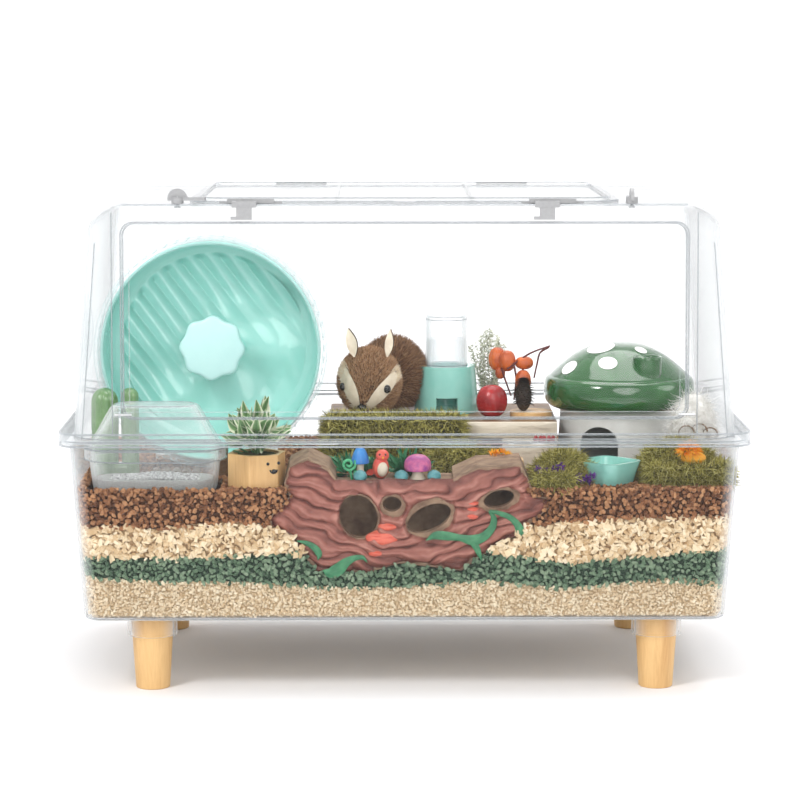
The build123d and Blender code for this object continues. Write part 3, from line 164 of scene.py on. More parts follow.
LOOKS = {
    "shell": clear("shell_clear", (0.80, 0.83, 0.85), 0.010, 0.85),
    "door": clear("door_clear", (0.84, 0.87, 0.89), 0.008, 0.85),
    "ring": clear("ring_clear", (0.75, 0.92, 0.92), 0.10, 0.8),
    "bath": clear("bath_clear", (0.93, 0.95, 0.96), 0.08, 0.75),
    "bottle": clear("bottle_clear", (0.90, 0.94, 0.95), 0.06, 0.85, 0.02),
    "water": clear("water_clear", (0.80, 0.88, 0.92), 0.22, 0.6, 0.02),
    "pine": grained("pine_varnished", (0.72, 0.46, 0.20), (0.55, 0.30, 0.11), "z"),
    "dark_wood": grained("dark_wood", (0.20, 0.11, 0.05), (0.08, 0.04, 0.02), "x"),
    "bark": mottled("bark", ((0.3, (0.05, 0.028, 0.015)), (0.7, (0.16, 0.09, 0.05))), 60, 0.9, 0.002, 180),
    "grey": mottled("grey_plastic", ((0.3, (0.29, 0.29, 0.295)), (0.7, (0.34, 0.34, 0.345))), 300, 0.38,
                    0.0001, 2500),
    "steel": mottled("bare_steel", ((0.3, (0.55, 0.55, 0.56)), (0.7, (0.66, 0.66, 0.67))), 200, 0.3,
                     Metallic=1.0),
    "mint": mottled("mint_plastic", ((0.3, (0.36, 0.73, 0.66)), (0.7, (0.41, 0.78, 0.71))), 25, 0.24,
                    Coat_Weight=0.6),
    "mint_glaze": mottled("mint_glaze", ((0.3, (0.24, 0.58, 0.50)), (0.7, (0.30, 0.64, 0.56))), 40, 0.12,
                          0.0003, 60, Coat_Weight=0.6),
    "green_glaze": mottled("green_glaze", ((0.35, (0.018, 0.085, 0.022)), (0.75, (0.035, 0.14, 0.04))), 30,
                           0.1,
                           0.0004, 45, Coat_Weight=0.8),
    "cactus_glaze": mottled("cactus_glaze", ((0.35, (0.11, 0.23, 0.08)), (0.75, (0.22, 0.37, 0.16))), 30,
                            0.12,
                            0.0004, 45, Coat_Weight=0.8),
    "white_glaze": mottled("white_glaze", ((0.3, (0.62, 0.62, 0.59)), (0.7, (0.74, 0.74, 0.71))), 35, 0.22,
                           0.0005, 70, Coat_Weight=0.5),
    "fine": mottled("fine_pulp", ((0.25, (0.66, 0.49, 0.30)), (0.5, (0.86, 0.71, 0.50)),
                                  (0.75, (0.95, 0.84, 0.65))),
                    900, 0.95, 0.001, 1400, islands=0.5),
    "green": mottled("green_pellet", ((0.2, (0.07, 0.125, 0.075)), (0.5, (0.15, 0.235, 0.145)),
                                      (0.8, (0.28, 0.37, 0.25))), 350, 0.95, 0.0008, 900, islands=0.6),
    "chips": mottled("wood_chip", ((0.2, (0.58, 0.40, 0.22)), (0.5, (0.80, 0.64, 0.42)),
                                   (0.8, (0.92, 0.80, 0.60))),
                     300, 0.9, 0.0006, 900, islands=0.6),
    "pellets": mottled("bark_pellet", ((0.2, (0.13, 0.05, 0.022)), (0.5, (0.31, 0.135, 0.058)),
                                       (0.8, (0.55, 0.29, 0.14))), 350, 0.95, 0.0008, 900, islands=0.6),
    "sand": mottled("bath_sand", ((0.3, (0.26, 0.26, 0.25)), (0.7, (0.62, 0.61, 0.58))), 1200, 0.95, 0.0006,
                    1800),
    "moss": mottled("dry_moss", ((0.2, (0.05, 0.055, 0.012)), (0.5, (0.17, 0.165, 0.035)),
                                 (0.8, (0.34, 0.31, 0.09))),
                    120, 0.95, 0.001, 500, islands=0.6),
    "stone": mottled("pale_stone", ((0.3, (0.42, 0.36, 0.27)), (0.7, (0.66, 0.60, 0.48))), 60, 0.8, 0.001,
                     200),
    "cotton": mottled("cotton", ((0.3, (0.72, 0.70, 0.66)), (0.7, (0.92, 0.91, 0.88))), 90, 1.0, 0.002, 300),
}


# --- Mesh helpers --------------------------------------------------------------------------------
def build(name, points, faces, look, body, replaces=(), smooth=True):
    """One mesh piece from its points and faces, all with the same number of corners."""
    points = np.asarray(points, dtype=np.float32).reshape(-1, 3)
    faces = np.asarray(faces, dtype=np.int32)
    corners = faces.shape[1]
    mesh = bpy.data.meshes.new(name)
    mesh.vertices.add(len(points))
    mesh.vertices.foreach_set("co", points.ravel())
    mesh.loops.add(faces.size)
    mesh.loops.foreach_set("vertex_index", faces.ravel())
    mesh.polygons.add(len(faces))
    mesh.polygons.foreach_set("loop_start", np.arange(0, faces.size, corners, dtype=np.int32))
    mesh.polygons.foreach_set("use_smooth", np.full(len(faces), smooth))
    mesh.update(calc_edges=True)
    mesh.validate()
    piece = bpy.data.objects.new(name, mesh)
    bpy.context.scene.collection.objects.link(piece)
    return finish_piece(piece, look, body, replaces)


def finish_piece(piece, look, body, replaces=()):
    """Gives a piece its material and its body, and hides the CAD nodes that it stands for."""
    piece.data.materials.clear()
    piece.data.materials.append(LOOKS[look] if isinstance(look, str) else look)
    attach(piece, body)
    if replaces:
        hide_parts(*replaces)
    return piece


def dress(look, *nodes):
    """Gives carried-over CAD nodes a material."""
    for node in nodes:
        piece = NODES[node]
        for material_slot in piece.material_slots:
            material_slot.material = LOOKS[look]


def grid_faces(rows, columns, wrap=False):
    """Quads of a grid of rows by columns, closed round its columns if asked."""
    row, column = np.meshgrid(np.arange(rows - 1), np.arange(columns if wrap else columns - 1), indexing="ij")
    after = (column + 1) % columns
    quads = np.stack([row * columns + column, row * columns + after,
                      (row + 1) * columns + after, (row + 1) * columns + column], -1)
    return quads.reshape(-1, 4)


def joined(parts):
    """Points and faces of several grids as one mesh."""
    points, faces, start = [], [], 0
    for some_points, some_faces in parts:
        points.append(np.asarray(some_points).reshape(-1, 3))
        faces.append(np.asarray(some_faces) + start)
        start += len(points[-1])
    return np.concatenate(points), np.concatenate(faces)


ICO = np.array([(0, 0, 1)] + [(cos(a) * 0.894, sin(a) * 0.894, 0.447) for a in np.arange(5) * 2 * pi / 5]
               + [(cos(a) * 0.894, sin(a) * 0.894, -0.447) for a in (np.arange(5) + 0.5) * 2 * pi / 5]
               + [(0, 0, -1)])
ICO_FACES = np.array([(0, 1 + k, 1 + (k + 1) % 5) for k in range(5)]
                     + [(1 + k, 6 + k, 1 + (k + 1) % 5) for k in range(5)]
                     + [(1 + (k + 1) % 5, 6 + k, 6 + (k + 1) % 5) for k in range(5)]
                     + [(11, 6 + (k + 1) % 5, 6 + k) for k in range(5)])
CHUNK = np.array([(x, y, z) for x in (-1, 1) for y in (-1, 1) for z in (-1, 1)], dtype=float)
CHUNK_FACES = np.array([(0, 1, 3, 2), (4, 6, 7, 5), (0, 4, 5, 1), (2, 3, 7, 6), (0, 2, 6, 4), (1, 5, 7, 3)])


def random_turns(draw, count):
    """Random rotation matrices."""
    q = draw.normal(size=(count, 4))
    q /= np.linalg.norm(q, axis=1, keepdims=True)
    w, x, y, z = q.T
    return np.stack([
        np.stack([1 - 2 * (y * y + z * z), 2 * (x * y - z * w), 2 * (x * z + y * w)], -1),
        np.stack([2 * (x * y + z * w), 1 - 2 * (x * x + z * z), 2 * (y * z - x * w)], -1),
        np.stack([2 * (x * z - y * w), 2 * (y * z + x * w), 1 - 2 * (x * x + y * y)], -1)], 1)


def scattered(draw, template, faces, places, sizes, ragged=0.2, turns=None):
    """Copies of a template at each place, each ragged in its own way."""
    count = len(places)
    shape = template[None] * (1 + draw.uniform(-ragged, ragged, (count, len(template), 1)))
    shape = shape * sizes[:, None, :]
    turns = random_turns(draw, count) if turns is None else turns
    points = np.einsum("nij,nkj->nki", turns, shape) + places[:, None, :]
    many = faces[None] + (np.arange(count) * len(template))[:, None, None]
    return points.reshape(-1, 3), many.reshape(-1, faces.shape[1])


# --- Bedding -------------------------------------------------------------------------------------
# Heights of the wavy boundaries above the tub's underside, as in the CAD model.
TUB_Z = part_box("tub")[0].z + 0.023
BED_STEP = 0.095
HEIGHTS = {
    "floor": [0.004] * 9,
    "fine": [0.055, 0.048, 0.047, 0.041, 0.041, 0.048, 0.039, 0.049, 0.041],
    "green": [0.077, 0.076, 0.080, 0.083, 0.080, 0.084, 0.070, 0.080, 0.086],
    "chips": [0.116, 0.111, 0.119, 0.104, 0.110, 0.107, 0.118, 0.123, 0.124],
    "pellets": [0.157] * 9,
}
LAYERS = (
    ("bedding_fine", "floor", "fine", "fine", 0.0032, (0.0026, 0.0018, 0.0012), ICO, ICO_FACES),
    ("bedding_green", "fine", "green", "green", 0.0052, (0.0038, 0.0026, 0.0021), ICO, ICO_FACES),
    ("bedding_chips", "green", "chips", "chips", 0.0052, (0.0036, 0.0028, 0.0013), CHUNK, CHUNK_FACES),
    ("bedding_pellets", "chips", "pellets", "pellets", 0.0050, (0.0033, 0.0026, 0.0022), ICO, ICO_FACES),
)
BED_LOW, BED_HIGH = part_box("bedding_fine"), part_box("bedding_pellets")
LEAN = ((BED_HIGH[1].x - BED_LOW[1].x) / (BED_HIGH[1].z - BED_LOW[1].z),
        (BED_HIGH[1].y - BED_LOW[1].y) / (BED_HIGH[1].z - BED_LOW[1].z))
LOG_LOW, LOG_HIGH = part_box("log_hideout")


def bed_half(z):
    """Half the bedding's length and depth at height z."""
    down = BED_HIGH[1].z - z
    return BED_HIGH[1].x - LEAN[0] * down, BED_HIGH[1].y - LEAN[1] * down


def boundary(name, x):
    stations = (np.arange(9) - 4) * BED_STEP
    return TUB_Z + np.interp(x, stations, HEIGHTS[name])


def fill_walls(draw, lower, upper, spacing):
    """Places of granules against the four walls, between two boundaries."""
    places = []
    corner = 0.020
    for axis in (0, 1):
        for side in (-1, 1):
            half = bed_half(TUB_Z + 0.1)[axis]
            along = np.arange(-half + 0.006, half - 0.006, spacing)
            up = np.arange(0.0, 0.09, spacing * 0.8)
            a, u = np.meshgrid(along, up, indexing="ij")
            a = (a + draw.uniform(-0.5, 0.5, a.shape) * spacing).ravel()
            u = (u + draw.uniform(-0.5, 0.5, u.shape) * spacing).ravel()
            x = a if axis == 0 else np.full_like(a, side * bed_half(TUB_Z + 0.1)[0])
            low, high = boundary(lower, x), boundary(upper, x)
            z = low + u
            keep = (z < high - 0.0005) & (z > TUB_Z + 0.005)
            a, z = a[keep], z[keep]
            half_x, half_y = bed_half(z)
            near = half_x if axis == 0 else half_y
            inward = np.clip(np.abs(a) - (near - corner), 0, corner)
            round_off = corner - np.sqrt(np.maximum(corner ** 2 - inward ** 2, 0))
            foot = np.clip(TUB_Z + 0.010 - z, 0, 0.01)
            deep = draw.uniform(-0.0046, -0.0024, len(a)) - round_off - foot * 0.6
            if axis == 0:
                spot = np.stack([a, side * (half_y + deep), z], -1)
            else:
                spot = np.stack([side * (half_x + deep), a, z], -1)
            places.append(spot[np.abs(a) < near - 0.003])
    return np.concatenate(places)


LOG_OUTLINE = np.array([
    (-112, 192), (-134, 182), (-140, 163), (-134, 147), (-160, 120), (-155, 111), (-134, 101),
    (-104, 57), (-42, 56), (-7, 67), (38, 62), (66, 58), (90, 76), (131, 101), (168, 133),
    (166, 147), (152, 147), (135, 184), (84, 181), (56, 168), (-80, 168), (-88, 180)]) * MM


def inside(outline, x, z):
    """Whether points lie inside a closed outline."""
    result = np.zeros(len(x), dtype=bool)
    for (x0, z0), (x1, z1) in zip(outline, np.roll(outline, -1, 0)):
        crosses = (z0 > z) != (z1 > z)
        where = x0 + (z - z0) * (x1 - x0) / (z1 - z0 + 1e-12)
        result ^= crosses & (x < where)
    return result


def clear_of_log(places, margin=0.003):
    """Drops the places that lie in the log's own space."""
    middle = LOG_OUTLINE.mean(0)
    shape = middle + (LOG_OUTLINE - middle) * (1 - margin / 0.08)
    in_log = inside(shape, places[:, 0], places[:, 2] - TUB_Z) & (places[:, 1] < LOG_HIGH.y)
    return places[~in_log]


def fill_top(draw, spacing):
    """Places of granules over the level top of the bedding, clear of the furnishings' middles."""
    half_x, half_y = bed_half(BED_HIGH[1].z)
    x, y = np.meshgrid(np.arange(-half_x + 0.004, half_x - 0.004, spacing),
                       np.arange(-half_y + 0.004, half_y - 0.004, spacing), indexing="ij")
    x = (x + draw.uniform(-0.5, 0.5, x.shape) * spacing).ravel()
    y = (y + draw.uniform(-0.5, 0.5, y.shape) * spacing).ravel()
    z = BED_HIGH[1].z + draw.uniform(-0.0025, 0.0005, len(x))
    places = np.stack([x, y, z], -1)
    for node in ("sand_bath_tray", "platform_house"):
        low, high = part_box(node)
        under = (x > low.x + 0.004) & (x < high.x - 0.004) & (y > low.y + 0.004) & (y < high.y - 0.004)
        places = places[~under]
        x, y = places[:, 0], places[:, 1]
    return places


BED_CORNER = 0.020
INSET = 0.0055


def kept_in(points):
    """Presses points back inside the bedding's outer faces, its round corners and its floor."""
    half_x, half_y = bed_half(points[:, 2])
    flat = np.abs(points[:, :2])
    middle = np.column_stack([half_x, half_y]) - BED_CORNER
    past = np.maximum(flat - middle, 0)
    reach = np.linalg.norm(past, axis=1) + 1e-12
    flat = np.minimum(flat, middle) + past * np.minimum(1, BED_CORNER / reach)[:, None]
    low = np.maximum(points[:, 2:], TUB_Z + 0.0035)
    return np.hstack([np.sign(points[:, :2]) * flat, low])


def inset_bed(node, look):
    """The CAD layer drawn in from the tub's walls, for its granules to lie against."""
    mesh = NODES[node].data.copy()
    points = np.empty(3 * len(mesh.vertices), dtype=np.float32)
    mesh.vertices.foreach_get("co", points)
    points = points.reshape(-1, 3).astype(float)
    half_x, half_y = bed_half(points[:, 2])
    past = np.maximum(np.abs(points[:, :2]) - np.column_stack([half_x, half_y]) + BED_CORNER, 0)
    reach = np.linalg.norm(past, axis=1) + 1e-12
    at_wall = (reach > BED_CORNER - 0.004)[:, None]
    points[:, :2] -= np.sign(points[:, :2]) * past / reach[:, None] * INSET * at_wall
    points[:, 2] -= 0.0025 * (points[:, 2] > BED_HIGH[1].z - 0.0005)
    mesh.vertices.foreach_set("co", points.astype(np.float32).ravel())
    mesh.update()
    piece = bpy.data.objects.new(node + "_bed", mesh)
    bpy.context.scene.collection.objects.link(piece)
    finish_piece(piece, look, "tub", (node,))


def make_bedding():
    for index, (node, lower, upper, look, spacing, size, template, faces) in enumerate(LAYERS):
        draw = np.random.default_rng(100 + index)
        places = clear_of_log(fill_walls(draw, lower, upper, spacing))
        if upper == "pellets":
            places = np.concatenate([places, clear_of_log(fill_top(draw, spacing))])
        sizes = np.array(size) * draw.uniform(0.7, 1.25, (len(places), 1))
        points, many = scattered(draw, template, faces, places, sizes, 0.28)
        build(node + "_granules", kept_in(points), many, look, "tub", smooth=False)


make_bedding()

# --- CAD nodes that keep their shape --------------------------------------------------------------
dress("shell", "tub", "cover", "top_lid")
dress("door", "front_door", "door_catches")
dress("pine", "leg_front_left", "leg_front_right", "leg_rear_left", "leg_rear_right", "planter_pot",
      "wood_slice", "wood_block")
dress("grey", "latch_left", "latch_right", "latch_rails", "turn_latch_left", "turn_latch_right")
dress("steel", "door_hinge_pins", "lid_hinge_pins", "turn_latch_screws", "wheel_bearings", "wheel_axle")
dress("ring", "wheel_ring", "wheel_stand")
dress("bath", "sand_bath_tray", "sand_bath_hood")
dress("sand", "bath_sand")
dress("white_glaze", "mushroom_house")
dress("mint_glaze", "food_bowl", "bottle_base")
dress("bottle", "water_bottle")
dress("water", "bottle_water")
dress("dark_wood", "stick_bridge", "platform_house")
dress("stone", "mineral_stone")
dress("cotton", "cotton_nest")


# --- Swept, turned and scattered shapes -----------------------------------------------------------
def tube(path, radius, sides=8, closed=False):
    """A round bar along a path of points; radius is one value or one for each point."""
    path = np.asarray(path, dtype=float)
    if closed:
        ahead = np.roll(path, -1, 0) - np.roll(path, 1, 0)
    else:
        ahead = np.gradient(path, axis=0)
    ahead /= np.linalg.norm(ahead, axis=1, keepdims=True) + 1e-12
    guide = np.where(np.abs(ahead[:, 2:3]) < 0.9, (0.0, 0.0, 1.0), (0.0, 1.0, 0.0))
    across = np.cross(ahead, guide)
    across /= np.linalg.norm(across, axis=1, keepdims=True) + 1e-12
    upward = np.cross(across, ahead)
    turn = np.arange(sides) * 2 * pi / sides
    radius = np.broadcast_to(np.asarray(radius, dtype=float), (len(path),))[:, None, None]
    ring = across[:, None] * np.cos(turn)[None, :, None] + upward[:, None] * np.sin(turn)[None, :, None]
    points = path[:, None] + ring * radius
    rows = len(path)
    if closed:
        points = np.concatenate([points, points[:1]])
        rows += 1
    return points.reshape(-1, 3), grid_faces(rows, sides, wrap=True)


def lathe(profile, place, steps=96, axis="z", shape=None):
    """A turned shape from (radius, height) points. shape(radius, height, turn) may bend it."""
    profile = np.asarray(profile, dtype=float)
    turn = np.arange(steps) * 2 * pi / steps
    radius, height = np.repeat(profile[:, :1], steps, 1), np.repeat(profile[:, 1:], steps, 1)
    turns = np.repeat(turn[None], len(profile), 0)
    if shape:
        radius, height = shape(radius, height, turns)
    if axis == "z":
        points = np.stack([radius * np.cos(turns), radius * np.sin(turns), height], -1)
    else:
        points = np.stack([radius * np.cos(turns), height, radius * np.sin(turns)], -1)
    return (points + np.asarray(place)).reshape(-1, 3), grid_faces(len(profile), steps, wrap=True)


def curve_through(points, count):
    """A smooth curve through points, by Catmull-Rom, as count points."""
    points = np.asarray(points, dtype=float)
    ends = np.concatenate([[2 * points[0] - points[1]], points, [2 * points[-1] - points[-2]]])
    where = np.linspace(0, len(points) - 1 - 1e-9, count)
    index = where.astype(int)
    t = (where - index)[:, None]
    a, b, c, d = (ends[index + k] for k in range(4))
    return 0.5 * (2 * b + (c - a) * t + (2 * a - 5 * b + 4 * c - d) * t ** 2 + (3 * b - a - 3 * c + d) * t ** 3)


def rounded_rectangle(half_x, half_y, corner, steps=10):
    """Points round a rounded rectangle, about its middle."""
    points = []
    for sign_x, sign_y, start in ((1, 1, 0), (-1, 1, pi / 2), (-1, -1, pi), (1, -1, 3 * pi / 2)):
        for angle in np.linspace(start, start + pi / 2, steps):
            points.append((sign_x * (half_x - corner) + corner * cos(angle),
                           sign_y * (half_y - corner) + corner * sin(angle)))
    return np.array(points)


def unit(vectors):
    return vectors / (np.linalg.norm(vectors, axis=-1, keepdims=True) + 1e-12)


def ball(middle, radii, rows=20, columns=32, lumps=0.0, seed=0):
    """A smooth or lumpy rounded body."""
    a, b = np.meshgrid(np.linspace(0.02, pi - 0.02, rows), np.arange(columns) * 2 * pi / columns,
                       indexing="ij")
    way = np.stack([np.sin(a) * np.cos(b), np.sin(a) * np.sin(b), np.cos(a)], -1)
    if lumps:
        draw = np.random.default_rng(seed)
        swell = sum(np.sin(way @ draw.normal(size=3) * 4 + draw.uniform(0, 6)) for _ in range(5)) / 5
        way = way * (1 + lumps * swell)[..., None]
    return (np.asarray(middle) + way * np.asarray(radii)).reshape(-1, 3), grid_faces(rows, columns, wrap=True)


def straightened(points, step=0.02):
    """The same closed outline with long straight runs cut into short ones."""
    result = []
    for start, end in zip(points, np.roll(points, -1, 0)):
        count = max(1, int(np.linalg.norm(end - start) / step))
        for index in range(count):
            result.append(start + (end - start) * index / count)
    return np.array(result)


def toned(piece, tone):
    """Stores one value for each point, which its material reads as its tone."""
    layer = piece.data.attributes.new("tone", "FLOAT", "POINT")
    layer.data.foreach_set("value", np.asarray(tone, dtype=np.float32).ravel())
    return piece


def toned_look(name, stops, roughness=0.6, scale=80, wander=0.15, relief=0.0, **sockets):
    """A material whose colour follows each point's tone, with a little noise on it."""
    made, tree, shader = new_material(name, roughness, **sockets)
    tone = add_node(tree, "ShaderNodeAttribute", {"attribute_name": "tone"}).outputs["Fac"]
    tree.links.new(ramp(tree, mix(tree, wander, tone, noise_on(tree, scale)), stops),
                   shader.inputs["Base Color"])
    if relief:
        bump(tree, shader, noise_on(tree, 4 * scale), relief)
    return made


# Grey beads for the edges of the clear pieces, one darker and one lighter: painted shade lines.
LOOKS["edge"] = clear("painted_shade_edge", (0.36, 0.39, 0.41), 0.42, 0.95, 0.08)
LOOKS["soft_edge"] = clear("painted_shade_step", (0.58, 0.61, 0.63), 0.20, 0.8, 0.08)
LOOKS["cap"] = mottled("pale_mint", ((0.3, (0.50, 0.79, 0.77)), (0.7, (0.56, 0.84, 0.81))), 30, 0.32)
# Tone 0 is the painted shade of the log's grooves and 1 the painted highlight of its ridges.
LOOKS["log"] = toned_look("driftwood_relief_shaded", ((0.0, (0.030, 0.009, 0.007)), (0.35, (0.17, 0.050, 0.036)),
                                        (0.62, (0.32, 0.115, 0.085)), (1.0, (0.54, 0.26, 0.205))),
                          0.55, 160, 0.22, 0.0006)
LOOKS["log_inside"] = mottled("log_inside", ((0.3, (0.17, 0.10, 0.065)), (0.7, (0.38, 0.26, 0.17))), 70, 0.9,
                              0.001, 200)
LOOKS["fungus"] = mottled("red_fungus", ((0.3, (0.58, 0.075, 0.045)), (0.7, (0.78, 0.20, 0.13))), 90, 0.4,
                          0.0004, 160, stretch=(1, 1, 6))
LOOKS["vine"] = mottled("painted_leaf", ((0.3, (0.02, 0.14, 0.06)), (0.7, (0.06, 0.27, 0.12))), 110, 0.4,
                        0.0003, 300)
LOOKS["spot"] = mottled("white_spot", ((0.3, (0.86, 0.87, 0.84)), (0.7, (0.92, 0.92, 0.90))), 60, 0.15)
LOOKS["birch"] = mottled("birch_board", ((0.25, (0.30, 0.24, 0.18)), (0.42, (0.66, 0.58, 0.46)),
                                         (0.8, (0.78, 0.71, 0.60))), 26, 0.75, 0.0006, 120, stretch=(1, 1, 5))
LOOKS["tan_board"] = grained("tan_board", (0.62, 0.42, 0.22), (0.45, 0.27, 0.12), "x")


# --- Painted shade lines on the edges of the clear pieces -----------------------------------------
# A clear panel shows mostly by the dark lines along its thick edges, so each gets a fine grey bead along it:
# painted shade for how the clear edges look.
TUB_BOX, COVER_BOX, DOOR_BOX, LID_BOX = (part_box(node) for node in ("tub", "cover", "front_door", "top_lid"))
RIM_TOP = TUB_BOX[1].z
RIM_FOOT = RIM_TOP - 0.016
WALL_LEAN = atan2(0.018, 0.2707)


def ring_at(half_x, half_y, corner, z, radius, sides=8):
    flat = straightened(rounded_rectangle(half_x, half_y, corner))
    return tube(np.column_stack([flat, np.full(len(flat), z)]), radius, sides, closed=True)


def on_front_wall(flat, out=0.0):
    """Points given as (x, distance up the cover's front wall), moved out from it."""
    flat = np.asarray(flat, dtype=float)
    lean_y, lean_z = sin(WALL_LEAN), cos(WALL_LEAN)
    return np.column_stack([
        flat[:, 0],
        -0.225 + flat[:, 1] * lean_y - out * lean_z,
        0.3023 + flat[:, 1] * lean_z + out * lean_y])


def make_edges():
    rim = [ring_at(0.3985, 0.2385, 0.0270, RIM_TOP - 0.0009, 0.0013),
           ring_at(0.3990, 0.2390, 0.0275, RIM_FOOT + 0.0010, 0.0012),
           ring_at(0.3855, 0.2240, 0.0215, RIM_FOOT + 0.0030, 0.0010)]
    build("tub_rim_edges", *joined(rim), "edge", "tub")
    foot = [ring_at(0.3735, 0.2095, 0.0215, TUB_Z + 0.0030, 0.0009),
            ring_at(0.3650, 0.2010, 0.0150, TUB_Z + 0.0008, 0.0007)]
    build("tub_foot_edges", *joined(foot), "edge", "tub")
    cover = [ring_at(0.3955, 0.2355, 0.0240, 0.3020, 0.0009),
             ring_at(0.3850, 0.2245, 0.0445, 0.3035, 0.0009)]
    roof_line = [(x, -0.2015, 0.5722) for x in np.linspace(-0.325, 0.325, 34)]
    roof_back = [(x, 0.2015, 0.5722) for x in np.linspace(-0.325, 0.325, 34)]
    cover += [tube(roof_line, 0.0011), tube(roof_back, 0.0009)]
    opening = straightened(rounded_rectangle(0.240, 0.180, 0.030))
    cover.append(tube(np.column_stack([opening, np.full(len(opening), 0.5722)]), 0.0009, closed=True))
    doorway = straightened(rounded_rectangle(0.3262, 0.1132, 0.015) + (0, 0.138))
    cover.append(tube(on_front_wall(doorway, -0.0008), 0.0009, closed=True))
    for side in (-1, 1):
        frame_line = [(side * 0.3365, up) for up in np.linspace(0.006, 0.262, 20)]
        cover.append(tube(on_front_wall(frame_line, -0.0010), 0.0008))
        corner = [(side * (0.3856 - 0.072 * up), -0.2250 + 0.0665 * up + 0.0125, 0.3030 + up)
                  for up in np.linspace(0, 0.225, 20)]
        inward = [(point[0] - side * 0.0125, point[1], point[2]) for point in corner]
        cover.append(tube(inward, 0.0007))
    build("cover_edges", *joined(cover), "edge", "cover")
    door = straightened(rounded_rectangle(0.3235, 0.1115, 0.0135) + (0, 0.138))
    inner = straightened(rounded_rectangle(0.3165, 0.1050, 0.010) + (0, 0.138))
    build("door_edges", *joined([tube(on_front_wall(door, -0.0010), 0.0011, closed=True)]), "edge",
          "front_door")
    build("door_step", *joined([tube(on_front_wall(inner, -0.0006), 0.0006, closed=True)]), "soft_edge",
          "front_door")
    lid = [ring_at(0.2490, 0.1890, 0.0390, 0.5750, 0.0010), ring_at(0.2385, 0.1785, 0.0285, 0.5788, 0.0008)]
    for x in (-0.079, 0.079):
        lid.append(tube([(x, y, 0.5788) for y in np.linspace(-0.177, 0.177, 20)], 0.0009))
    build("lid_edges", *joined(lid), "edge", "top_lid")


make_edges()


# --- Wheel ----------------------------------------------------------------------------------------
WHEEL = Vector((-0.232, 0.0, 0.389))


def make_wheel():
    """The bowl with its flutes, which run down to the right from a scalloped arc and fade out."""
    flute = 0.0205
    arc = 0.113

    def waves(radius, height, turn):
        x, z = radius * np.cos(turn), radius * np.sin(turn)
        across = 0.80 * x + 0.60 * z
        along = 0.60 * x - 0.80 * z
        start = -np.sqrt(np.maximum(arc ** 2 - across ** 2, 0))
        past = along - start
        ridge = 1 - np.abs(np.cos(pi * across / flute))
        onset = np.clip(past / 0.006, 0, 1)
        fade = np.exp(-(np.maximum(past, 0) / 0.075) ** 2.0) * np.clip((radius - 0.016) / 0.02, 0, 1)
        broad = np.sin(6 * turn + 1.0 + 14 * radius) * np.clip((radius - 0.03) / 0.05, 0, 1)
        broad *= np.clip((arc - radius) / 0.02, 0, 1)
        plate = (height > -0.003) & (height < 0.0045)
        flutes = 0.0100 * ridge * onset * fade * (radius < arc)
        return radius, height - np.where(plate, flutes + 0.0042 * broad * (1 - fade * 0.7), 0)

    front = [(0.00805, 0.002)] + [(r, 0.002) for r in np.linspace(0.014, 0.1135, 96)]
    bend = [(0.111 + 0.018 * sin(a), -0.018 + 0.019 * cos(a)) for a in np.linspace(0.25, pi / 2, 14)]
    side = [(0.129, y) for y in np.linspace(-0.022, -0.074, 16)]
    lip = [(0.1295, -0.0755), (0.1305, -0.0760), (0.1315, -0.0755), (0.132, -0.0745)]
    outer = [(0.132, y) for y in np.linspace(-0.07, -0.026, 6)]
    back = [(0.1315, -0.015), (0.127, -0.004), (0.117, 0.0045), (0.111, 0.006), (0.06, 0.006),
            (0.00805, 0.006)]
    bowl = lathe(front + bend + side + lip + outer + back, WHEEL, 720, "y", waves)
    hub = lathe([(0.014, 0.001), (0.014, -0.036), (0.0135, -0.038), (0.00805, -0.038), (0.00805, 0.001)],
                WHEEL, 64, "y")
    build("wheel_bowl_fluted", *joined([bowl, hub]), "mint", "wheel", ("wheel_bowl",))
    rims = []
    for radius, y in ((0.1392, -0.0788), (0.1352, -0.0788), (0.1305, -0.0788), (0.1392, -0.0045),
                      (0.1340, -0.0045)):
        ring = [(WHEEL.x + radius * cos(a), y,
                 WHEEL.z + radius * sin(a)) for a in np.arange(160) * 2 * pi / 160]
        rims.append(tube(ring, 0.0007, 6, closed=True))
    for a in np.arange(60) * 2 * pi / 60:
        rims.append(tube([(WHEEL.x + 0.1362 * cos(a), y, WHEEL.z + 0.1362 * sin(a))
                          for y in np.linspace(-0.076, -0.008, 4)], 0.0010, 6))
    build("wheel_ring_ribs", *joined(rims), "ring", "wheel")


def make_hub_cap():
    """The cap on the wheel's hub: a thick flower with eight soft lobes and a rounded edge."""
    low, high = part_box("wheel_hub_cap")
    reach = (high.x - low.x) / 2

    def lobed(radius, height, turn):
        return radius * (0.955 + 0.045 * np.cos(8 * turn + 0.4)), height

    front, back = low.y, high.y
    profile = [(0.0, front + 0.0004), (reach - 0.006, front), (reach - 0.003, front + 0.0004),
               (reach - 0.0010, front + 0.0014), (reach, front + 0.0032), (reach, back), (0.0, back)]
    build("hub_flower", *lathe(profile, (WHEEL.x, 0, WHEEL.z), 160, "y", lobed), "cap", "wheel",
          ("wheel_hub_cap",))


make_wheel()
make_hub_cap()


# --- Log ------------------------------------------------------------------------------------------
PANE_LEAN = atan2(0.015, 0.209)
LOG_HOLES = ((-53, 123, 22.5, 27, 15), (-14, 136, 14, 13, 0), (29, 122, 29, 21, 25),
             (109.5, 143.5, 24, 12, 14))


def on_pane(x, up, out):
    """Points by the tub's front pane: x, distance up it, and how far out from the log's face."""
    x, up, out = np.broadcast_arrays(x, up, out)
    depth = out - 0.010
    return np.stack([
        x,
        -0.209 - up * sin(PANE_LEAN) - depth * cos(PANE_LEAN),
        0.087 + up * cos(PANE_LEAN) - depth * sin(PANE_LEAN)], -1)


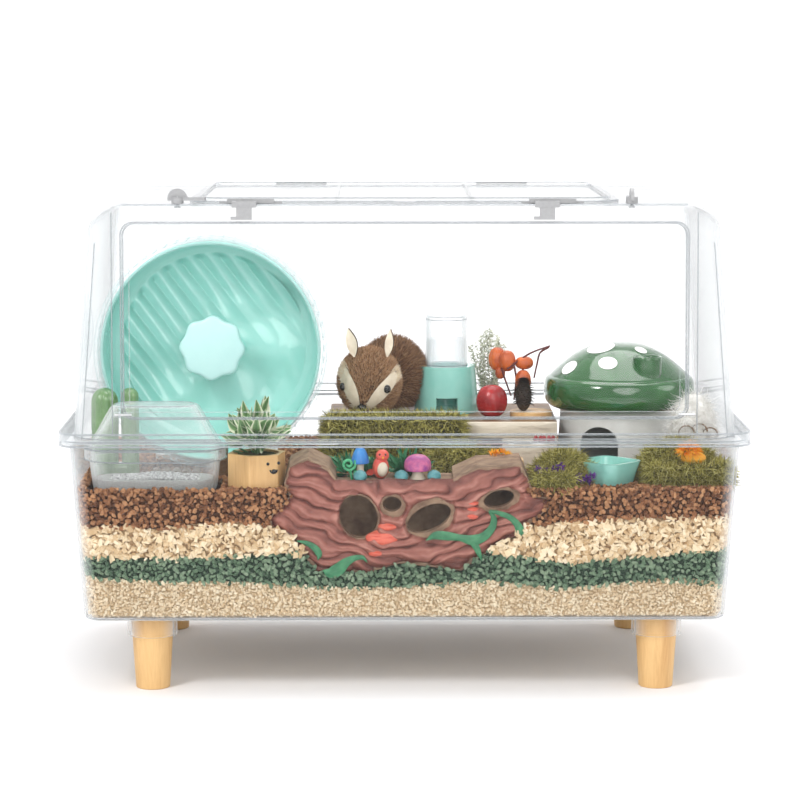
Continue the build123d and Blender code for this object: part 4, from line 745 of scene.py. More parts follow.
def edge_distance(x, z, outline):
    """Distance to a closed outline, positive inside it."""
    best = np.full(x.shape, 1e9)
    for (x0, z0), (x1, z1) in zip(outline, np.roll(outline, -1, 0)):
        dx, dz = x1 - x0, z1 - z0
        t = np.clip(((x - x0) * dx + (z - z0) * dz) / (dx * dx + dz * dz), 0, 1)
        best = np.minimum(best, np.hypot(x - x0 - t * dx, z - z0 - t * dz))
    sign = np.where(inside(outline, x.ravel(), z.ravel()).reshape(x.shape), 1, -1)
    return best * sign


def hole_distance(x, z):
    """Distance outside the nearest hole, roughly, negative inside one."""
    best = np.full(x.shape, 1e9)
    for hole_x, hole_z, wide, tall, tilt in LOG_HOLES:
        dx, dz = x - hole_x * MM, z - hole_z * MM
        a = radians(tilt)
        u, v = dx * cos(a) + dz * sin(a), -dx * sin(a) + dz * cos(a)
        scale = np.hypot(u / (wide * MM), v / (tall * MM))
        best = np.minimum(best, (scale - 1) * min(wide, tall) * MM)
    return best


def wavy(x, z, scale_x, scale_z, seed):
    """Smooth noise over two arrays, from a few turned waves."""
    draw = np.random.default_rng(seed)
    total = np.zeros(x.shape)
    for octave in range(3):
        for _ in range(6):
            angle, phase = draw.uniform(0, 2 * pi, 2)
            rate = 2.0 ** octave
            total += np.sin((x / scale_x * cos(angle) + z / scale_z * sin(angle)) * 2 * pi * rate + phase) / rate
    return total / 5.0


def make_log():
    step = 0.0009
    x, z = np.meshgrid(np.arange(-0.166, 0.172, step), np.arange(0.052, 0.196, step), indexing="ij")
    ragged = 0.0026 * wavy(x, z, 0.05, 0.03, 3)
    edge = edge_distance(x, z, LOG_OUTLINE) + ragged
    hole = hole_distance(x, z) + 0.0012 * wavy(x, z, 0.02, 0.02, 4)
    bend = z - 0.125 - 0.42 * np.sqrt(x ** 2 + 0.0006) + 0.010 * wavy(x, z, 0.10, 0.08, 5)
    around = np.clip(1 - hole / 0.020, 0, 1)
    bend = bend + around * hole * 0.9
    grain = np.abs(np.sin(bend / 0.0165 * pi + 0.9 * wavy(x, z, 0.09, 0.05, 6)))
    fine = 0.5 + 0.5 * np.sin(bend / 0.0038 * pi + 2.0 * wavy(x, z, 0.05, 0.03, 7))
    rim = np.exp(-((hole - 0.004) / 0.0045) ** 2)
    knots = wavy(x, z, 0.05, 0.04, 8)
    round_edge = np.sqrt(np.clip(edge / 0.012, 0, 1))
    round_hole = np.sqrt(np.clip(hole / 0.0035, 0, 1))
    height = 0.0015 + 0.0042 * grain ** 0.55 + 0.0009 * fine + 0.0012 * knots + 0.0018 * rim
    out = -0.0030 + (height + 0.0030) * np.minimum(round_edge, round_hole)
    out = np.clip(out, -0.0030, 0.0078)
    # The tone follows the bark's relief: painted shade in the grooves and where the face rounds off at its outline,
    # painted highlight where ridges, knots and hole rims stand up.
    tone = 0.10 + 0.62 * grain ** 0.6 * np.minimum(round_edge,
                                                   1) + 0.20 * (fine - 0.5) + 0.16 * rim + 0.12 * knots
    keep = (edge > 0) & (hole > 0)
    rows, columns = x.shape
    faces = grid_faces(rows, columns)
    flat_keep = keep.ravel()
    faces = faces[flat_keep[faces].all(1)]
    used = np.unique(faces)
    renumber = np.full(x.size, -1)
    renumber[used] = np.arange(len(used))
    points = on_pane(x, z, out).reshape(-1, 3)[used]
    piece = build("log_bark_face", points, renumber[faces], "log", "tub")
    toned(piece, np.clip(tone.ravel()[used], 0, 1))
    dress("log_inside", "log_hideout")
    shelves = []
    for px, py, half_x, half_z in ((381.6, 540, 19.0, 9.0), (387.3, 528.4, 11.0, 5.0),
                                   (375.2, 555.8, 9.2, 4.0),
                                   (474, 504.6, 7.0, 3.2), (474, 510.8, 7.4, 3.2), (473.3, 517.8, 8.0, 4.2)):
        shelves.append(ball(px_pane(px, py, 0.0015), (half_x * MM, 0.0072, half_z * MM), 24, 36, 0.06,
                            int(px)))
    build("log_fungus_shelves", *joined(shelves), "fungus", "tub", ("log_fungi",))


def px_pane(px, py, out):
    """A point by the pane from its place in the front view."""
    x = (px - 405) * 1.1412 * MM
    up = (134 + (584 - py) * 1.1685 - 87) * MM
    return on_pane(x, up, out)


def leaf_shape(start, end, wide, facing, droop=0.15, steps=8, halves=3):
    """A pointed leaf from its stalk to its tip, dished and drooping, as a grid."""
    start, end, facing = (np.asarray(v, dtype=float) for v in (start, end, facing))
    along = end - start
    length = np.linalg.norm(along)
    side = np.cross(along / length, facing)
    side /= np.linalg.norm(side) + 1e-12
    up = np.cross(side, along / length)
    t = np.linspace(0, 1, steps)
    half = wide * np.sin(pi * np.clip(t, 0.02, 0.985)) ** 0.8 * (1 - 0.35 * t)
    s = np.linspace(-1, 1, 2 * halves + 1)
    centre = start + along * t[:, None] + up * (np.sin(pi * t) * droop * length)[:, None]
    points = centre[:, None] + side * (half[:, None] * s)[...,
                                                          None] + up * (np.abs(s) * half[:, None] * 0.35)[..., None]
    tone = np.broadcast_to(np.abs(s), (steps, len(s)))
    return points.reshape(-1, 3), grid_faces(steps, len(s)), tone.ravel()


def pane_leaf(line, out=0.0074, count=40):
    """A dished ribbon by the pane, along (px, py, half width) points of the front view."""
    fine = curve_through(line, count)
    ahead = unit(np.gradient(fine[:, :2], axis=0))
    side = np.column_stack([-ahead[:, 1], ahead[:, 0]])
    s = np.linspace(-1, 1, 7)
    flat = fine[:, None, :2] + side[:, None] * (np.abs(fine[:, 2:3]) * s)[..., None]
    raised = out + 0.0013 * (1 - s ** 2)
    return px_pane(flat[..., 0], flat[..., 1], raised).reshape(-1, 3), grid_faces(count, 7)


def make_vine():
    leaves = [
        pane_leaf([(490.4, 511.6, 1.2), (495.1, 518.9, 3.0), (493.6, 528.4, 3.8), (485.2, 537.9, 4.6),
                   (473.6, 541.5, 5.4), (461.0, 539.0, 3.4), (447.3, 537.2, 4.6), (435.7, 536.8, 4.0),
                   (426.3, 541.6, 0.4)]),
        pane_leaf([(490.4, 511.6, 1.2), (501.0, 514.1, 2.4), (511.5, 518.3, 3.0), (518.9, 525.2, 3.6),
                   (522.0, 532.6, 4.2), (521.0, 538.5, 0.8)]),
        pane_leaf([(473.6, 542.1, 4.0), (477.8, 549.4, 3.4), (481.0, 556.8, 2.2), (483.1, 562.5, 0.3)]),
        pane_leaf([(295.1, 541.7, 0.6), (305.2, 544.2, 2.4), (313.7, 549.4, 3.4), (317.4, 555.7, 3.2),
                   (316.2, 561.6, 0.4)], 0.0080),
        pane_leaf([(321.0, 572.0, 0.6), (329.0, 574.5, 5.6), (337.0, 571.0, 6.4), (344.5, 564.2, 4.8),
                   (353.6, 559.5, 3.0), (362.0, 559.0, 2.2), (366.7, 564.0, 0.3)], 0.0084)]
    build("log_vine", *joined(leaves), "vine", "tub")


make_log()
make_vine()


CAMERA_AT = (-0.0343, -3.3472, 0.7573)


def px_at(px, py, y):
    """A point at depth y from its place in the front view."""
    across, down = (px - 405) / 2740 + 0.01094, (py - 405) / 2740
    away = y - CAMERA_AT[1]
    drop = away * (0.1325 + down) / (1 - down * 0.1325)
    return np.array([CAMERA_AT[0] + away * across, y, CAMERA_AT[2] - drop])


# --- Mushroom house -------------------------------------------------------------------------------
ROOF_AT = (0.266, 0.0, 0.0)
ROOF_PROFILE = [(0.0, 0.3916), (0.012, 0.3913), (0.025, 0.3896), (0.038, 0.3858), (0.050, 0.3800),
                (0.061, 0.3728), (0.071, 0.3648), (0.0785, 0.3580), (0.0830, 0.3538), (0.0850, 0.3515),
                (0.0874, 0.3502), (0.0902, 0.3475), (0.0922, 0.3420), (0.0930, 0.3340), (0.0924, 0.3265),
                (0.0900, 0.3200), (0.0855, 0.3150), (0.0790, 0.3120), (0.0740, 0.3118), (0.0730, 0.3170),
                (0.0730, 0.3300), (0.0680, 0.3480), (0.0500, 0.3680), (0.0250, 0.3780), (0.0, 0.3800)]


def make_mushroom():
    fine = curve_through(ROOF_PROFILE, 110)
    chimney = lathe([(0.0140, 0.3640), (0.0141, 0.3780), (0.0148, 0.3802), (0.0162, 0.3806), (0.0174, 0.3798),
                     (0.0176, 0.3770), (0.0172, 0.3700), (0.0174, 0.3600), (0.0182, 0.3480),
                     (0.0140, 0.3470)],
                    (0.295, -0.0575, 0), 72)
    build("mushroom_cap", *joined([lathe(fine, ROOF_AT, 160), chimney]), "green_glaze", "mushroom_roof",
          ("mushroom_roof",))
    radii, heights = fine[:75, 0], fine[:75, 1]
    order = np.argsort(heights)
    parts = []
    for px, py, wide, tall, tilt in ((602.1, 348.3, 14.3, 4.8, -12), (609.3, 363.6, 9.6, 6.2, 0),
                                     (570.6, 368.0, 9.0, 4.6, -38), (642.5, 350.6, 6.5, 2.6, 20)):
        u, a = np.meshgrid(np.linspace(0.01, 1, 14), np.arange(40) * 2 * pi / 40, indexing="ij")
        da, db = u * np.cos(a) * wide, u * np.sin(a) * tall
        turn = radians(tilt)
        spot_px = px + da * cos(turn) - db * sin(turn)
        spot_py = py + da * sin(turn) + db * cos(turn)
        y = np.full(u.shape, -0.04)
        for _ in range(60):
            x, _, z = px_at(spot_px, spot_py, y)
            r = np.interp(z, heights[order], radii[order])
            y = 0.7 * y - 0.3 * np.sqrt(np.maximum(r ** 2 - (x - ROOF_AT[0]) ** 2, 0))
        x, _, z = px_at(spot_px, spot_py, y)
        points = np.stack([x, y - 0.0004, z + 0.0004], -1)
        parts.append((points.reshape(-1, 3), grid_faces(14, 40, wrap=True)))
    build("mushroom_spots", *joined(parts), "spot", "mushroom_roof")


make_mushroom()


# --- Strands, leaves and heaps --------------------------------------------------------------------
def on_dome(draw, count, middle, radii, low=-0.2, front=None):
    """Random points on an ellipsoid and their outward directions, from a lowest height up."""
    ways = unit(draw.normal(size=(count * 3, 3)))
    ways = ways[ways[:, 2] > low]
    if front is not None:
        ways = ways[ways[:, 1] < front]
    ways = ways[:count]
    return np.asarray(middle) + ways * radii, unit(ways / np.asarray(radii))


def ribbons(draw, roots, ways, lengths, width, curl=0.5, rows=4):
    """Thin curling blades from their roots."""
    count = len(roots)
    ways = unit(ways)
    side = unit(np.cross(ways, draw.normal(size=(count, 3))))
    bend = unit(np.cross(side, ways)) * draw.uniform(-curl, curl, (count, 1)) - (0, 0, 0.15 * curl)
    t = np.linspace(0, 1, rows)[None, :, None]
    lengths = np.broadcast_to(lengths, (count,))[:, None, None]
    line = roots[:, None] + (ways[:, None] * t + bend[:, None] * t ** 2) * lengths
    half = width * (1 - 0.85 * t) * side[:, None]
    points = np.stack([line - half, line + half], 2).reshape(-1, 3)
    faces = grid_faces(rows, 2)[None] + (np.arange(count) * rows * 2)[:, None, None]
    return points, faces.reshape(-1, 4)


def spikes(draw, roots, ways, lengths, radius):
    """Three-sided bristles from their roots."""
    count = len(roots)
    ways = unit(ways)
    side = unit(np.cross(ways, draw.normal(size=(count, 3))))
    other = np.cross(ways, side)
    lengths = np.broadcast_to(lengths, (count,))[:, None]
    foot = [roots + radius * (side * cos(a) + other * sin(a)) for a in (0, 2.094, 4.189)]
    points = np.stack(foot + [roots + ways * lengths], 1).reshape(-1, 3)
    faces = np.array([(0, 1, 3), (1, 2, 3), (2, 0, 3)])[None] + (np.arange(count) * 4)[:, None, None]
    return points, faces.reshape(-1, 3)


LOOKS["leaf"] = toned_look("variegated_leaf", ((0.0, (0.07, 0.17, 0.06)), (0.52, (0.17, 0.30, 0.12)),
                                               (0.68, (0.62, 0.68, 0.46)), (1.0, (0.88, 0.88, 0.76))), 0.5,
                                               150, 0.2)
LOOKS["bristle"] = toned_look("straw_bristle", ((0.0, (0.045, 0.020, 0.010)), (0.35, (0.20, 0.095, 0.042)),
                                                (0.65, (0.48, 0.28, 0.14)), (0.85, (0.74, 0.60, 0.42)),
                                                (1.0, (0.86, 0.82, 0.70))), 0.7, 220, 0.12)
LOOKS["moss_base"] = mottled("moss_shade", ((0.3, (0.018, 0.018, 0.005)), (0.7, (0.07, 0.065, 0.016))), 200,
                             1.0,
                             0.002, 400)
LOOKS["moss"] = mottled("dry_moss", ((0.1, (0.065, 0.060, 0.012)), (0.45, (0.27, 0.24, 0.045)),
                                     (0.75, (0.50, 0.45, 0.12)), (0.95, (0.68, 0.62, 0.28))), 260, 0.95,
                        islands=0.75)
LOOKS["petal"] = mottled("marigold_petal", ((0.2, (0.80, 0.24, 0.01)), (0.8, (0.95, 0.50, 0.03))), 300, 0.6,
                         islands=0.7)
LOOKS["violet"] = mottled("violet_petal", ((0.2, (0.045, 0.008, 0.12)), (0.8, (0.14, 0.03, 0.26))), 300, 0.6,
                          islands=0.7)
LOOKS["lichen"] = mottled("white_lichen", ((0.2, (0.30, 0.32, 0.22)), (0.6, (0.66, 0.68, 0.54)),
                                           (0.9, (0.86, 0.86, 0.76))), 300, 0.9, islands=0.7)
LOOKS["orange_pod"] = mottled("orange_pod", ((0.25, (0.30, 0.035, 0.010)), (0.6, (0.62, 0.13, 0.02)),
                                             (0.85, (0.75, 0.26, 0.05))), 70, 0.35, 0.0012, 120)
LOOKS["red_pod"] = mottled("red_pod", ((0.3, (0.20, 0.006, 0.008)), (0.7, (0.46, 0.02, 0.02))), 60, 0.25,
                           0.001, 90)
LOOKS["cone"] = mottled("cone_scale", ((0.3, (0.012, 0.008, 0.006)), (0.8, (0.07, 0.042, 0.026))), 200, 0.7,
                        islands=0.5)
LOOKS["twig"] = mottled("dark_twig", ((0.3, (0.06, 0.010, 0.010)), (0.7, (0.16, 0.03, 0.025))), 150, 0.6,
                        0.001, 300)
LOOKS["blue_paint"] = mottled("blue_paint", ((0.3, (0.02, 0.15, 0.50)), (0.7, (0.06, 0.28, 0.66))), 80, 0.35)
LOOKS["pink_paint"] = mottled("pink_paint", ((0.35, (0.30, 0.05, 0.26)), (0.65, (0.62, 0.15, 0.30))), 120,
                              0.35)
LOOKS["red_paint"] = mottled("red_paint", ((0.3, (0.62, 0.07, 0.05)), (0.7, (0.78, 0.15, 0.10))), 80, 0.4)
LOOKS["cream_paint"] = mottled("cream_paint", ((0.3, (0.66, 0.56, 0.42)), (0.7, (0.80, 0.72, 0.58))), 120,
                               0.5)
LOOKS["bright_green"] = mottled("fern_green", ((0.3, (0.03, 0.32, 0.13)), (0.7, (0.10, 0.50, 0.24))), 120,
                                0.4)
LOOKS["teal_paint"] = mottled("teal_stone", ((0.3, (0.05, 0.22, 0.24)), (0.7, (0.14, 0.36, 0.38))), 120, 0.5,
                              0.0006, 150)
LOOKS["black"] = mottled("glossy_black", ((0.3, (0.006, 0.006, 0.006)), (0.7, (0.014, 0.013, 0.012))), 200,
                         0.15)
LOOKS["grain_sand"] = mottled("sand_grain", ((0.1, (0.16, 0.15, 0.15)), (0.5, (0.50, 0.50, 0.50)),
                                             (0.9, (0.86, 0.86, 0.85))), 900, 0.9, islands=0.8)
# Darker copies of the four bedding colours for the inset layers behind the granules: painted shade in the gaps
# between the granules.
for base, colours in (("fine_shade", ((0.50, 0.35, 0.19), (0.76, 0.60, 0.40))),
                      ("green_shade", ((0.016, 0.032, 0.020), (0.055, 0.095, 0.06))),
                      ("chips_shade", ((0.26, 0.16, 0.08), (0.54, 0.38, 0.22))),
                      ("pellets_shade", ((0.030, 0.012, 0.006), (0.12, 0.05, 0.022)))):
    LOOKS[base] = mottled(base, ((0.3, colours[0]), (0.7, colours[1])), 400, 1.0, 0.001, 900)
for node, base in (("bedding_fine", "fine_shade"), ("bedding_green", "green_shade"),
                   ("bedding_chips", "chips_shade"), ("bedding_pellets", "pellets_shade")):
    inset_bed(node, base)


# --- Moss and flowers -----------------------------------------------------------------------------
def moss_heap(name, draw, middle, radii, count):
    """Curling dry moss over a dark heap."""
    roots, ways = on_dome(draw, count, middle, radii, -0.05)
    ways = unit(ways * 0.5 + draw.normal(size=ways.shape) * 0.65)
    blades = ribbons(draw, roots - ways * 0.003, ways, draw.uniform(0.007, 0.016, len(roots)), 0.00075, 0.9)
    build(name + "_blades", *blades, "moss", "tub")
    build(name + "_heap", *ball(middle, np.array(radii) * 0.93, 16, 28, 0.08, 5), "moss_base", "tub")


def moss_block(draw, node, count):
    """Curling moss over a CAD block's front, top and ends."""
    low, high = (np.array(corner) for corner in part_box(node))
    spots = draw.uniform(low, high, (count, 3))
    which = draw.integers(0, 5, count)
    ways = draw.normal(size=(count, 3)) * 0.6
    for index, (axis, value, sign) in enumerate(((1, low[1], -1), (1, low[1], -1), (2, high[2], 1),
                                                 (0, low[0], -1), (0, high[0], 1))):
        chosen = which == index
        spots[chosen, axis] = value
        ways[chosen, axis] += sign * 0.8
    blades = ribbons(draw, spots, ways, draw.uniform(0.006, 0.014, count), 0.0008, 0.9)
    build(node + "_blades", *blades, "moss", "tub")
    dress("moss_base", node)


def make_moss():
    draw = np.random.default_rng(40)
    moss_block(draw, "platform_moss", 9000)
    moss_block(draw, "moss_middle", 2200)
    moss_block(draw, "moss_right", 3600)
    moss_heap("moss_by_bowl", draw, (0.186, -0.168, 0.246), (0.036, 0.026, 0.034), 4200)
    moss_heap("moss_by_nest", draw, (0.322, -0.150, 0.246), (0.050, 0.030, 0.044), 5600)
    moss_heap("moss_behind_log", draw, (0.070, -0.100, 0.246), (0.050, 0.022, 0.034), 3600)
    roots, ways = on_dome(draw, 260, (0.333, -0.178, 0.283), (0.009, 0.008, 0.006), -0.3)
    petals = ribbons(draw, roots, ways, draw.uniform(0.004, 0.009, len(roots)), 0.0015, 0.5)
    build("marigold_petals", *petals, "petal", "tub")
    dress("petal", "marigold")
    parts = []
    for px, py in ((541, 470), (549, 473), (556, 471), (562, 467), (580, 478), (589, 480), (594, 477)):
        spot = px_at(px, py, -0.2035)
        roots, ways = on_dome(draw, 26, spot, (0.0016,) * 3, -1.0)
        parts.append(ribbons(draw, roots, ways, 0.0055, 0.0016, 0.5))
    build("violet_flowers", *joined(parts), "violet", "tub")
    roots, ways = on_dome(draw, 90, px_at(500, 455, -0.150), (0.010, 0.004, 0.003), -0.5)
    build("yellow_flowers", *ribbons(draw, roots, ways, 0.006, 0.0014, 0.5), "petal", "tub")


# --- Hedgehog figure ------------------------------------------------------------------------------
HEAD = (np.array((-0.0416, -0.012, 0.344)), np.array((0.037, 0.036, 0.041)))
BACK = (np.array((-0.0133, 0.040, 0.347)), np.array((0.040, 0.040, 0.044)))


def front_of(shape, x, z):
    """The y of an ellipsoid's front at (x, z)."""
    middle, radii = shape
    rest = 1 - ((x - middle[0]) / radii[0]) ** 2 - ((z - middle[2]) / radii[2]) ** 2
    return middle[1] - radii[1] * np.sqrt(np.maximum(rest, 0))


def make_hedgehog():
    draw = np.random.default_rng(51)
    nose = np.array((-0.050, -0.046, 0.318))
    stripes = [(px_at(341.5, 370.0, -0.045)[[0, 2]], px_at(356.5, 406.0, -0.045)[[0, 2]]),
               (px_at(396.5, 375.0, -0.045)[[0, 2]], px_at(368.5, 406.5, -0.045)[[0, 2]])]
    all_points, all_faces, tones, start = [], [], [], 0
    for shape, count, longest in ((HEAD, 11000, 0.0062), (BACK, 9000, 0.0100)):
        roots, ways = on_dome(draw, count, shape[0], shape[1], -0.85)
        away = unit(roots - nose)
        ways = unit(ways * (0.34 if shape is HEAD else 0.85) + away * 0.75 + draw.normal(size=ways.shape) * 0.26)
        points, faces = spikes(draw, roots, ways, draw.uniform(0.6, 1.0, len(roots)) * longest, 0.00062)
        tone = draw.uniform(0.08, 0.62, len(roots)) ** 1.1
        if shape is HEAD:
            tone = tone * 0.75 + 0.30
            flat = roots[:, (0, 2)]
            for a, b in stripes:
                t = np.clip(((flat - a) @ (b - a)) / ((b - a) @ (b - a)), 0, 1)
                gap = np.linalg.norm(flat - a - t[:, None] * (b - a), axis=1)
                striped = (gap < 0.0075 * (1 - 0.30 * t)) & (roots[:, 1] < shape[0][1])
                tone = np.where(striped, draw.uniform(0.86, 1.0, len(roots)), tone)
        tones.append(np.repeat(tone, 4))
        all_points.append(points)
        all_faces.append(faces + start)
        start += len(points)
    piece = build("hedgehog_bristles", np.concatenate(all_points), np.concatenate(all_faces), "bristle",
                  "tub",
                  ("hedgehog_figure",), smooth=False)
    toned(piece, np.concatenate(tones))
    under = joined([ball(HEAD[0], HEAD[1] * 0.97), ball(BACK[0], BACK[1] * 0.97)])
    build("hedgehog_body", *under, "bark", "tub")
    for index, (a, b) in enumerate(stripes):
        t = np.linspace(0, 1, 14)[:, None]
        line = a + (b - a) * t
        across = unit(np.array([[-(b - a)[1], (b - a)[0]]]))
        s = np.linspace(-1, 1, 7)
        half = 0.0080 * np.sin(pi * (0.12 + 0.8 * t)) ** 0.6
        flat = line[:, None] + across * (half * s)[..., None]
        y = front_of(HEAD, flat[..., 0], flat[..., 1]) - 0.0050
        patch = np.stack([flat[..., 0], y, flat[..., 1]], -1)
        build(f"hedgehog_stripe_{index}", patch.reshape(-1, 3), grid_faces(14, 7), "cream_paint", "tub")
    features = []
    for px, py, size in ((342.3, 387.5, 0.0040), (387.0, 388.9, 0.0045), (361.6, 408.5, 0.0064)):
        spot = px_at(px, py, -0.045)
        y = front_of(HEAD, spot[0], spot[2])
        features.append(ball((spot[0], y - 0.0058, spot[2]),
                             (size, size * 0.7, size * (1.15 if size < 0.005 else 0.8))))
    build("hedgehog_eyes_nose", *joined(features), "black", "tub")
    ears = []
    for tip, foot, wide in (((347.5, 328.5), (354, 357), 0.0078), ((390, 329.5), (387, 357), 0.0062)):
        ears.append(leaf_shape(px_at(*foot, -0.036), px_at(*tip, -0.028), wide, (0.1, -1, 0), 0.08)[:2])
    build("hedgehog_ears", *joined(ears), "cream_paint", "tub")
    backs = [(points + (0.0012, 0.0018, 0.0006), faces) for points, faces in ears]
    build("hedgehog_ear_backs", *joined(backs), "bark", "tub")


# --- Plants and dried things ----------------------------------------------------------------------
def make_planter():
    draw = np.random.default_rng(61)
    pot = np.array((-0.173, -0.180, 0.284))
    parts, tones = [], []
    for index in range(86):
        turn = draw.uniform(0, 2 * pi)
        rise = draw.uniform(-0.1, 1.45)
        way = np.array((cos(turn) * cos(rise), sin(turn) * cos(rise) * 0.8, sin(rise)))
        start = pot + way * draw.uniform(0.004, 0.022) + (0, 0, 0.010)
        length = draw.uniform(0.017, 0.025) + 0.012 * sin(rise)
        points, faces, tone = leaf_shape(start, start + way * length, draw.uniform(0.0058, 0.0088),
                                         unit(draw.normal(size=3)), draw.uniform(0.0, 0.3), 9, 3)
        parts.append((points, faces))
        tones.append(np.clip(tone * 1.05 + draw.uniform(-0.12, 0.12), 0, 1))
    stems = [tube([pot - (0, 0, 0.008), pot + way * 0.030 + (0, 0, 0.012)], 0.0012, 6)
             for way in unit(draw.normal(size=(14, 3)) + (0, 0, 1.2))]
    count = sum(len(points) for points, _ in stems)
    piece = build("planter_leaves", *joined(parts + stems), "leaf", "tub", ("planter_plant",))
    toned(piece, np.concatenate(tones + [np.full(count, 0.2)]))
    soil = [(0.0, 0.2815), (0.012, 0.2818), (0.022, 0.2806), (0.0255, 0.2780), (0.0255, 0.2716),
            (0.0, 0.2716)]
    build("planter_soil", *lathe(soil, (-0.173, -0.180, 0), 40), "moss_base", "tub")
    face = []
    normal = np.array((sin(radians(18)), -cos(radians(18)), 0.0))
    across = np.array((cos(radians(18)), sin(radians(18)), 0.0))
    centre = np.array((-0.173, -0.180, 0.0)) + normal * 0.0305
    for shift, z, size in ((0.0055, 0.2725, 0.0019), (0.0185, 0.2730, 0.0019)):
        face.append(ball(centre + across * (shift - 0.0005) + (0, 0, z), (size, size * 0.5, size), 12, 16))
    smile = [centre + across * (0.012 + 0.0042 * cos(a)) + (0, 0, 0.2655 + 0.0042 * sin(a))
             for a in np.linspace(pi, 2 * pi, 14)]
    face.append(tube(smile, 0.0010, 6))
    face.append(ball(centre + across * 0.012 + (0, 0, 0.2640), (0.0034, 0.0008, 0.0021), 12, 16))
    build("planter_face", *joined(face), "black", "tub")


def make_cactus():
    parts = []
    for x, radius, ribs in ((-0.357, 0.0160, 9), (-0.327, 0.0105, 8)):
        def ribbed(r, h, turn, ribs=ribs):
            return r * (0.92 + 0.09 * np.abs(np.cos(turn * ribs / 2)) ** 0.7), h
        top = 0.3490
        profile = [(0.0005, top)] + [(radius * sin(a),
                                      top - radius + radius * cos(a)) for a in np.linspace(0.1, pi / 2, 16)]
        profile += [(radius * (1 + 0.02 * sin(6 * t)), top - radius - t * (top - radius - 0.2443))
                    for t in np.linspace(0.02, 1, 24)]
        parts.append(lathe(profile, (x, -0.103, 0), 108, "z", ribbed))
    profile = [(0.0, 0.0142), (0.020, 0.0140), (0.0245, 0.0120), (0.0255, 0.008), (0.0255, 0.0)]
    foot, faces = lathe(profile, (0, 0, 0), 48)
    parts.append((foot * (0.9, 0.42, 1) + (-0.342, -0.103, 0.2443), faces))
    build("cactus_ribbed", *joined(parts), "cactus_glaze", "tub", ("cactus_house",))


def make_dried():
    draw = np.random.default_rng(71)
    roots, ways, lengths = [], [], []
    for _ in range(34):
        turn, lean = draw.uniform(0, 2 * pi), draw.uniform(0.05, 0.5)
        line = curve_through([(0.108, 0.064, 0.3018),
                              (0.108 + 0.010 * cos(turn), 0.064 + 0.010 * sin(turn), 0.335),
                              (0.108 + 0.050 * lean * cos(turn), 0.064 + 0.040 * lean * sin(turn),
                               0.350 + 0.052 * (1 - lean))], 22)
        for spot in line[3:]:
            for _ in range(5):
                roots.append(spot)
                ways.append(draw.normal(size=3) + (0, 0, 0.5))
                lengths.append(draw.uniform(0.003, 0.0075))
    bush = spikes(draw, np.array(roots), np.array(ways), np.array(lengths), 0.0007)
    build("lichen_branches", *bush, "lichen", "tub", ("lichen_bush",), smooth=False)

    def pod(middle, radii, ribs=6):
        a, b = np.meshgrid(np.linspace(0.03, pi - 0.03, 26), np.arange(48) * 2 * pi / 48, indexing="ij")
        swell = 1 + 0.09 * np.abs(np.cos(b * ribs / 2)) - 0.05
        way = np.stack([np.sin(a) ** 0.8 * np.cos(b) * swell, np.sin(a) ** 0.8 * np.sin(b) * swell,
                        np.cos(a)], -1)
        return (np.asarray(middle) + way * radii).reshape(-1, 3), grid_faces(26, 48, wrap=True)

    orange = [pod(px_at(498, 359, 0.026), (0.0105, 0.010, 0.0145)),
              pod(px_at(508, 361, 0.016), (0.0100, 0.010, 0.0130)),
              pod(px_at(525, 363, 0.012), (0.0110, 0.009, 0.0080)),
              pod(px_at(524, 381, 0.006), (0.0095, 0.009, 0.0135)),
              pod(px_at(501, 373, 0.020), (0.006, 0.006, 0.0075))]
    build("orange_pods", *joined(orange), "orange_pod", "tub", ("dried_pods",))
    heart, faces = pod((0.108, -0.030, 0.3225), (0.0185, 0.016, 0.0200), 4)
    build("red_pod", heart, faces, "red_pod", "tub")
    twigs = []
    for line in ([(508, 369), (530, 354), (551, 346)], [(550, 347), (541, 353), (538, 364), (535, 378)],
                 [(502, 368), (506, 380), (512, 396)], [(524, 368), (522, 380), (520, 398)],
                 [(515, 366), (517, 380), (515, 400)]):
        twigs.append(tube(curve_through([px_at(px, py, 0.008) for px, py in line], 14),
                          np.linspace(0.0014, 0.0010, 14), 7))
    build("dark_twigs", *joined(twigs), "twig", "tub")
    scales = []
    for index in range(150):
        t = index / 150
        turn, height = index * 2.39996, 0.3095 + 0.034 * t
        reach = 0.0165 * sin(pi * (0.22 + 0.74 * t)) ** 0.7 + 0.003
        way = np.array((cos(turn), sin(turn), 0.35 + 1.1 * t))
        start = np.array((0.1475, -0.015, height))
        scales.append(leaf_shape(start, start + unit(way) * reach, 0.0052, (0.2, 0.1, 1), 0.30, 6, 2)[:2])
    scales.append(ball((0.1475, -0.015, 0.327), (0.010, 0.010, 0.019)))
    build("pinecone_scales", *joined(scales), "cone", "tub", ("pinecone",))


def make_cotton():
    draw = np.random.default_rng(81)
    middle, radii = (0.347, -0.100, 0.288), (0.024, 0.026, 0.046)
    roots, ways = on_dome(draw, 5200, middle, radii, -0.9)
    ways = unit(np.cross(ways, draw.normal(size=ways.shape)) + ways * 0.25)
    fluff = ribbons(draw, roots, ways, draw.uniform(0.010, 0.024, len(roots)), 0.00035, 0.8, 5)
    build("cotton_fluff", *fluff, "cotton", "tub")
    dress("cotton", "cotton_nest")
    curls = []
    for px, py in ((703, 432), (714, 436), (690, 434)):
        base = px_at(px, py, -0.130)
        a = np.linspace(0, 4.2, 22)
        line = base + np.stack([0.009 * np.cos(a), 0.002 * a, 0.009 * np.sin(a)], -1)
        curls.append(tube(line, np.linspace(0.0011, 0.0005, 22), 6))
    build("nest_twigs", *joined(curls), "dark_wood", "tub")


